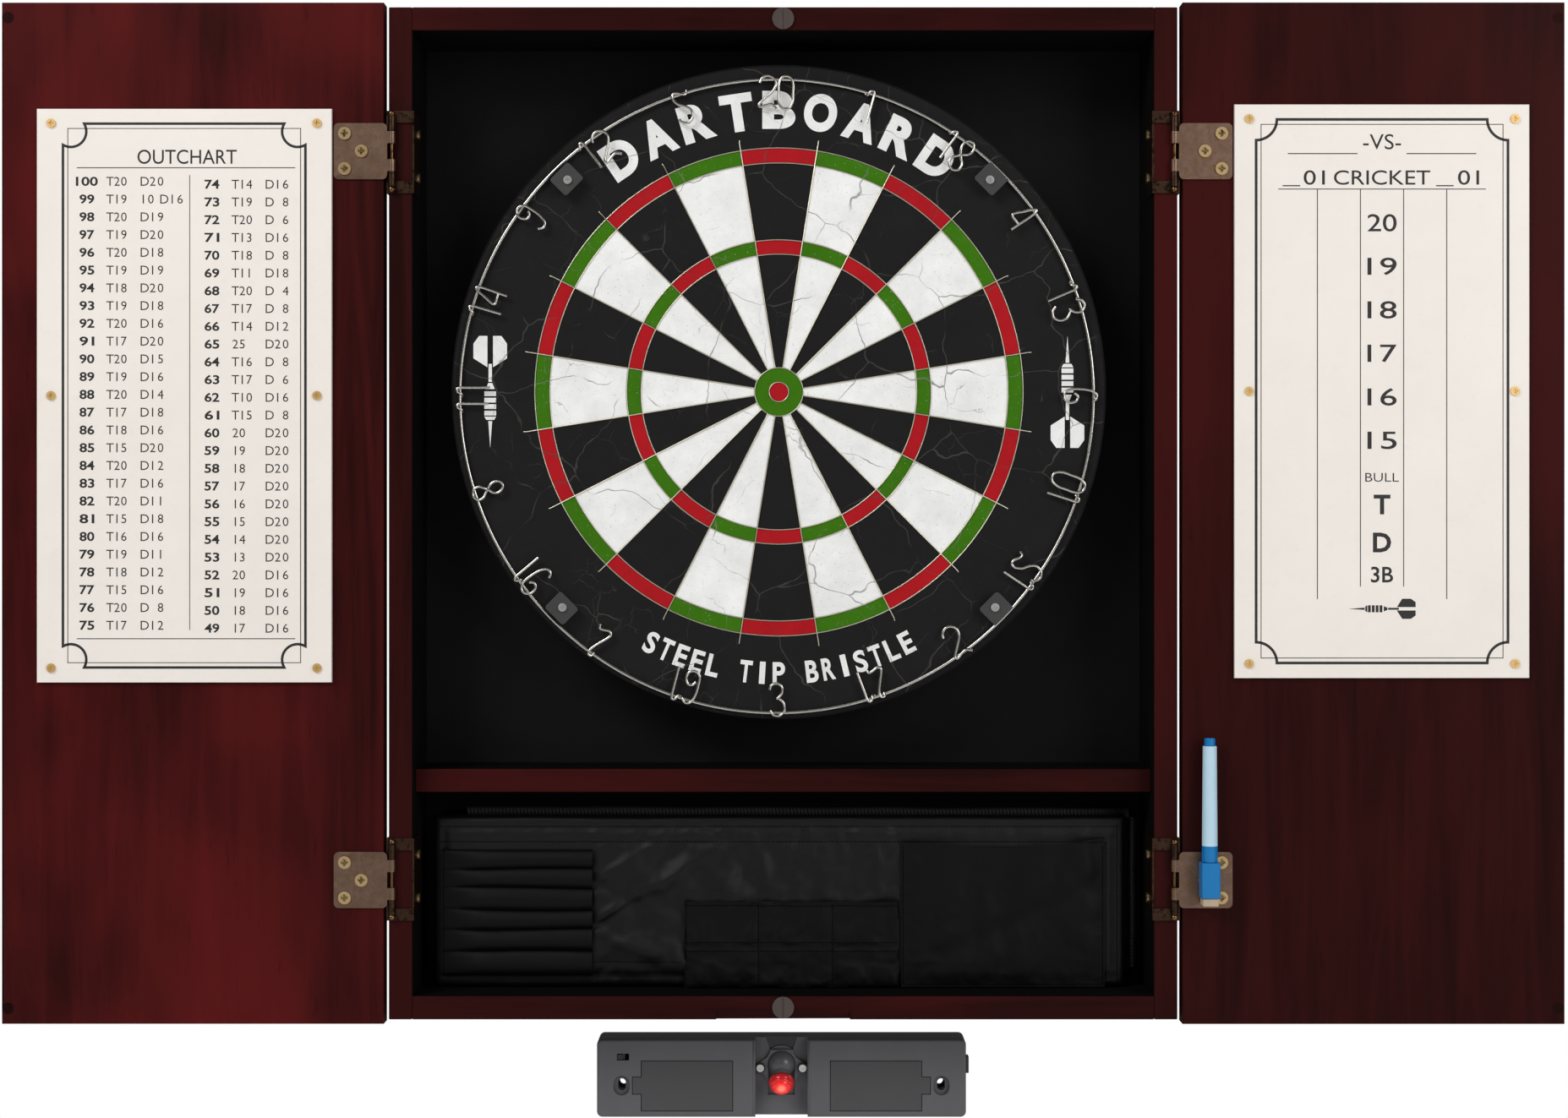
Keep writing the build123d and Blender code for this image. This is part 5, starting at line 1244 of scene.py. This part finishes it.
def large_pocket():
    """The large pocket: one sheet sewn on three sides, its top edge slack and a fold across it."""
    low, high = LARGE_LOW, LARGE_HIGH
    width, height = high.x - low.x, high.z - low.z
    columns, rows = 90, 62

    def held(u, v):
        return min(u, 1 - u) * width < 1.8 * MM or v * height < 1.8 * MM

    offsets = simulated(width, height, columns, rows, held, 0.008, 0.3, 1.2 * MM, 1.2)

    def spot(u, v, i, j):
        x = low.x + u * width
        dip = 4.5 * MM * math.sin(math.pi * min(1.0, u / 0.94)) ** 1.3
        dip -= 2.0 * MM * step((u - 0.85) / 0.15)
        z = low.z + v * (height - dip) + 1.2 * MM * v
        seam = min(u, 1 - u) * width
        tight = step(seam / (14 * MM)) * step(v * height / (12 * MM))
        gape = 3.0 * MM * tight * (0.35 + 0.65 * v)
        fold = (v - 0.14) - 0.62 * (u - 0.05)
        crease = 2.0 * MM * math.exp(-(fold / 0.085) ** 2) * step((u - 0.05) / 0.2)
        second = (u - 0.80) + 0.22 * (1 - v)
        crease += 1.6 * MM * math.exp(-(second / 0.05) ** 2) * step((v - 0.5) / 0.3)
        y = PAD_FRONT - 1.0 * MM - gape + crease + offsets[j, i]
        return x, min(y, PAD_FRONT - 0.4 * MM), z

    mesh = sheet_mesh("large_pocket", grid(columns, rows, spot), 0.7 * MM)
    made = piece("large_pocket", mesh, "cabinet", pocket_nylon, ["organizer_large_pocket"])


def stitching():
    """Sewn lines: short thread stitches that follow the cloth they hold."""
    bpy.context.view_layer.update()
    cloths = [bpy.data.objects[n] for n in
              ("organizer_front", "dart_sleeves", "small_pockets", "large_pocket")]
    graph = bpy.context.evaluated_depsgraph_get()
    trees = [BVHTree.FromObject(cloth, graph) for cloth in cloths]

    def surface(x, z):
        hits = [tree.ray_cast(Vector((x, -0.2, z)), Vector((0, 1, 0)))[0] for tree in trees]
        return min((hit.y for hit in hits if hit is not None), default=None)

    left, right = pad_low.x, pad_high.x
    low, high = pad_low.z, pad_high.z
    lines = [
        ((left + 4 * MM, high - HEM), (right - 4 * MM, high - HEM)),
        ((left + 4 * MM, high - BAND), (right - 16 * MM, high - BAND)),
        ((left + 4 * MM, low + 5 * MM), (SMALL_LOW.x - 2 * MM, low + 5 * MM)),
        ((SLEEVES_RIGHT + 1 * MM, low + 18 * MM), (SMALL_LOW.x - 2 * MM, low + 18 * MM)),
        ((left + 4.5 * MM, low + 4 * MM), (left + 4.5 * MM, high - 5 * MM)),
        ((right - 14 * MM, low + 4 * MM), (right - 14 * MM, high - BAND)),
        ((right - 6 * MM, low + 4 * MM), (right - 6 * MM, high - 5 * MM)),
        ((SLEEVES_LOW.x + 1.5 * MM, SLEEVES_LOW.z), (SLEEVES_LOW.x + 1.5 * MM, SLEEVES_HIGH.z)),
        ((SLEEVES_LOW.x, SLEEVES_LOW.z + 1.5 * MM), (SLEEVES_RIGHT, SLEEVES_LOW.z + 1.5 * MM)),
        ((LARGE_LOW.x + 1.5 * MM, LARGE_LOW.z + 2 * MM), (LARGE_LOW.x + 1.5 * MM, LARGE_HIGH.z - 2 * MM)),
        ((LARGE_HIGH.x - 1.5 * MM, LARGE_LOW.z + 2 * MM), (LARGE_HIGH.x - 1.5 * MM, LARGE_HIGH.z - 2 * MM)),
        ((LARGE_LOW.x + 2 * MM, LARGE_LOW.z + 2 * MM), (LARGE_HIGH.x - 2 * MM, LARGE_LOW.z + 2 * MM)),
        ((SMALL_LOW.x, SMALL_HIGH.z - 3 * MM), (SMALL_HIGH.x - 1 * MM, SMALL_HIGH.z - 3 * MM)),
        ((SMALL_LOW.x, SMALL_LOW.z + 1.5 * MM), (SMALL_HIGH.x, SMALL_LOW.z + 1.5 * MM)),
    ]
    span = SMALL_HIGH.x - SMALL_LOW.x
    for seam in (0.008, 0.345, 0.69):
        x = SMALL_LOW.x + span * seam
        lines.append(((x, SMALL_LOW.z + 1 * MM), (x, SMALL_HIGH.z - 1 * MM)))
    for share in (0.42, 0.52):
        z = SMALL_LOW.z + (SMALL_HIGH.z - SMALL_LOW.z) * share
        lines.append(((SMALL_LOW.x + 1 * MM, z), (SMALL_HIGH.x - 1 * MM, z)))
    runs = []
    pitch = 3.0 * MM
    for start, end in lines:
        start, end = Vector(start), Vector(end)
        count = int((end - start).length / pitch)
        for i in range(count):
            ends = []
            for share in ((i + 0.12) / count, (i + 0.5) / count, (i + 0.88) / count):
                spot = start.lerp(end, share)
                y = surface(spot.x, spot.y)
                if y is not None:
                    ends.append(Vector((spot.x, y, spot.y)))
            if len(ends) == 3:
                ends[1].y -= 0.22 * MM
                runs.append((ends, False))
    mesh = wires("organizer_stitches", runs, 0.24 * MM, 0)
    piece("organizer_stitches", mesh, "cabinet", thread)


front_panel()
rear_body()
tape_top = pad_high.z + 2.2 * MM
tape_start = (pad_low.x + 22 * MM, 0, tape_top)
tape_end = (pad_high.x + 4 * MM, 0, tape_top - 1.4 * MM)
ribbed_tape("organizer_top_tape", tape_start, tape_end, 7.0 * MM, BODY_FRONT + 1.5 * MM)
ribbed_tape("organizer_side_tape", (pad_high.x + 6.0 * MM, 0, pad_low.z + 12 * MM),
            (pad_high.x + 6.0 * MM, 0, pad_high.z - 2 * MM), 4.0 * MM, BODY_FRONT + 1.5 * MM)
dart_sleeves()
small_pockets()
large_pocket()
stitching()

# ---------------------------------------------------------------- marker and laser unit

rounded("marker_cap", 0.5)
rounded("marker_barrel", 0.3)
rounded("marker_collar", 0.25)
rounded("marker_plug", 0.25)
rounded("marker_eraser", 0.8)
rounded("laser_front_shell", 1.3, 1.0, 3, 45, 0.25)
rounded("laser_rear_shell", 0.4, 2.0)
rounded("battery_door_left", 0.35)
rounded("battery_door_right", 0.35)
rounded("mode_switch", 0.25)
rounded("power_button", 0.5)


def plate(name, outlines, front, back, soft):
    """A moulded plate between two depths, from outlines across and up; inner outlines are holes."""
    curve = bpy.data.curves.new(name, "CURVE")
    curve.dimensions = "2D"
    curve.fill_mode = "BOTH"
    curve.extrude = (back - front) / 2 - soft
    curve.bevel_depth = soft
    curve.bevel_resolution = 2
    curve.offset = -soft
    for points in outlines:
        add_line(curve, [(across, up, 0.0) for across, up in points], True)
    mesh = mesh_of_curve(curve)
    for spot in mesh.vertices:
        across, up, depth = spot.co
        spot.co = (across, (front + back) / 2 - depth, up)
    return mesh


def arc(centre, radius, start, end, count=14):
    return [
        (centre[0] + radius * math.cos(math.radians(start + (end - start) * i / count)),
         centre[1] + radius * math.sin(math.radians(start + (end - start) * i / count)))
        for i in range(count + 1)
    ]


def retainer():
    """The plate that holds the ball: two screw ears, a flat top and a round hole, open below the lens."""
    low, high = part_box("ball_retainer")
    ear = 15.0 * MM
    drop = -2.1 * MM
    half = arc((ear, drop), 3.6 * MM, -75, 75)
    half = [(9.2 * MM, -11.6 * MM), (9.9 * MM, -11.6 * MM), (12.2 * MM, -7.4 * MM)] + half
    half += [(10.4 * MM, 5.0 * MM), (8.6 * MM, 8.0 * MM), (8.2 * MM, 10.4 * MM)]
    around = half + [(-x, z) for x, z in reversed(half)]
    around += arc((0.0, 0.0), 9.7 * MM, 198.5, -18.5, 40)
    outline = [(BALL_SPOT.x + x, BALL_SPOT.z + z) for x, z in around]
    mesh = plate("ring_plate", [outline], low.y + 2.2 * MM, high.y, 0.3 * MM)
    piece("ball_retainer_ring", mesh, "cabinet", unit_plastic, ["ball_retainer"])
    # Round each screw a cup in black gloss plastic: painted shade for the counterbore about the screw.
    for side in (-1, 1):
        centre = (BALL_SPOT.x + side * ear, BALL_SPOT.z + drop)
        wall = arc(centre, 3.6 * MM, 0, 360, 32)[:-1]
        bore = arc(centre, 2.75 * MM, 360, 0, 32)[:-1]
        mesh = plate("screw_cup", [wall, bore], low.y - 0.7 * MM, high.y - 1.0 * MM, 0.2 * MM)
        piece(f"retainer_cup_{(side + 3) // 2}", mesh, "cabinet", unit_gloss)


def turned(name, profile, spot, axis, sides=56):
    """A solid turned about an axis, from distances along it and radii."""
    across = Vector((1.0, 0.0, 0.0))
    up = axis.cross(across)
    shape = bmesh.new()
    rings = []
    for far, reach in profile:
        rings.append([
            shape.verts.new(spot + axis * far + (across * math.cos(t) + up * math.sin(t)) * reach)
            for t in (2 * math.pi * i / sides for i in range(sides))
        ])
    for inner, outer in zip(rings, rings[1:]):
        for i in range(sides):
            j = (i + 1) % sides
            shape.faces.new([inner[i], inner[j], outer[j], outer[i]])
    shape.faces.new(list(reversed(rings[0])))
    shape.faces.new(rings[-1])
    bmesh.ops.recalc_face_normals(shape, faces=shape.faces)
    return shaded(mesh_of_shape(shape, name), 60)


def lens():
    """The red dome: a plain rim and steps like those of a torch glass up to its tip."""
    profile = [(5.3, 4.0), (12.8, 4.0), (12.9, 7.7)]
    for i in range(36):
        bend = math.radians(-22 + 112 * i / 36)
        groove = 0.13 * math.sin(i * 2 * math.pi / 6)
        profile.append((16.0 + (8.0 + groove) * math.sin(bend), (8.8 + groove) * math.cos(bend)))
    profile.append((24.0, 0.2))
    mesh = turned("lens_dome", [(far * MM, reach * MM) for far, reach in profile], BALL_SPOT, AIM)
    piece("laser_lens_dome", mesh, "laser_lens", MATERIALS["laser_lens"], ["laser_lens"])


def channel_trim():
    """A black sheet of painted shade in the recess above the ball, and the raised ribs along both edges of
    the channel.
    """
    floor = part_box("ball_retainer")[1].y
    # Painted shade: a black sheet just in front of the recess floor.
    recess = Print(floor + 1.5 * MM - 0.05 * MM)
    recess.polygon([
        (BALL_SPOT.x + x * MM, BALL_SPOT.z + z * MM)
        for x, z in ((-11.0, 18.8), (-8.0, 10.0), (8.0, 10.0), (11.0, 18.8))
    ])
    recess.finish("recess_floor", "cabinet", "unit_black", unit_gloss)
    low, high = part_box("laser_front_shell")
    runs = []
    for side in (-1, 1):
        x = BALL_SPOT.x + side * 19.6 * MM
        runs.append(([
            (x, low.y + 2.6 * MM, high.z - 1.2 * MM), (x, low.y + 0.5 * MM, high.z - 2.2 * MM),
            (x, low.y + 0.5 * MM, low.z + 2.2 * MM), (x, low.y + 2.6 * MM, low.z + 1.2 * MM),
        ], False))
    ribs = wires("channel_ribs", runs, 1.0 * MM, 3)
    piece("channel_ribs", ribs, "cabinet", unit_plastic)


retainer()
lens()
channel_trim()

# ---------------------------------------------------------------- floor, light and camera


def stage_floor():
    """A plain pale floor under and in front of the cabinet."""
    bpy.ops.mesh.primitive_circle_add(vertices=96, radius=2.0, fill_type="NGON", location=(0, -1.6, -0.62))
    floor = bpy.context.object
    floor.name = "floor"
    made = Shader("pale_floor", Roughness=0.7)
    made.give("Base Color", made.mix(made.noise(3.0, 3.0), (0.8, 0.8, 0.8, 1), (0.84, 0.84, 0.84, 1)))
    floor.data.materials.append(made.material)


def area_light(name, place, target, size, power):
    lamp = bpy.data.lights.new(name, "AREA")
    lamp.shape = "RECTANGLE"
    lamp.size, lamp.size_y = size
    lamp.energy = power
    holder = bpy.data.objects.new(name, lamp)
    bpy.context.scene.collection.objects.link(holder)
    holder.location = place
    holder.rotation_euler = (Vector(target) - Vector(place)).to_track_quat("-Z", "Y").to_euler()


def studio():
    """White surroundings for the eye, dimmer ones for reflections, and three soft boxes."""
    world = bpy.data.worlds.new("studio")
    bpy.context.scene.world = world
    world.use_nodes = True
    tree = world.node_tree
    seen = tree.nodes["Background"]
    seen.inputs["Color"].default_value = (1, 1, 1, 1)
    seen.inputs["Strength"].default_value = 1.0
    ray = tree.nodes.new("ShaderNodeLightPath")
    result = seen.outputs[0]
    for label, strength in (("Is Diffuse Ray", 0.42), ("Is Glossy Ray", 0.09)):
        around = tree.nodes.new("ShaderNodeBackground")
        around.inputs["Color"].default_value = (1, 1, 1, 1)
        around.inputs["Strength"].default_value = strength
        choose = tree.nodes.new("ShaderNodeMixShader")
        tree.links.new(ray.outputs[label], choose.inputs[0])
        tree.links.new(result, choose.inputs[1])
        tree.links.new(around.outputs[0], choose.inputs[2])
        result = choose.outputs[0]
    tree.links.new(result, tree.nodes["World Output"].inputs[0])
    aim = (0.0, -0.05, -0.1)
    area_light("key", (-1.5, -1.7, 1.5), aim, (1.2, 0.9), 34)
    area_light("fill", (1.7, -1.9, 0.6), aim, (1.2, 1.2), 22)
    area_light("low", (0.2, -1.6, -1.4), aim, (1.4, 0.5), 6)
    bpy.context.scene.view_settings.view_transform = "Standard"


def camera():
    eye = bpy.data.objects.new("camera", bpy.data.cameras.new("camera"))
    bpy.context.scene.collection.objects.link(eye)
    eye.location = (0.0006, -1.776, -0.1164)
    eye.rotation_euler = (math.radians(90), 0, 0)
    eye.data.sensor_width = 36
    eye.data.lens = 56.8
    bpy.context.scene.camera = eye


stage_floor()
studio()
camera()
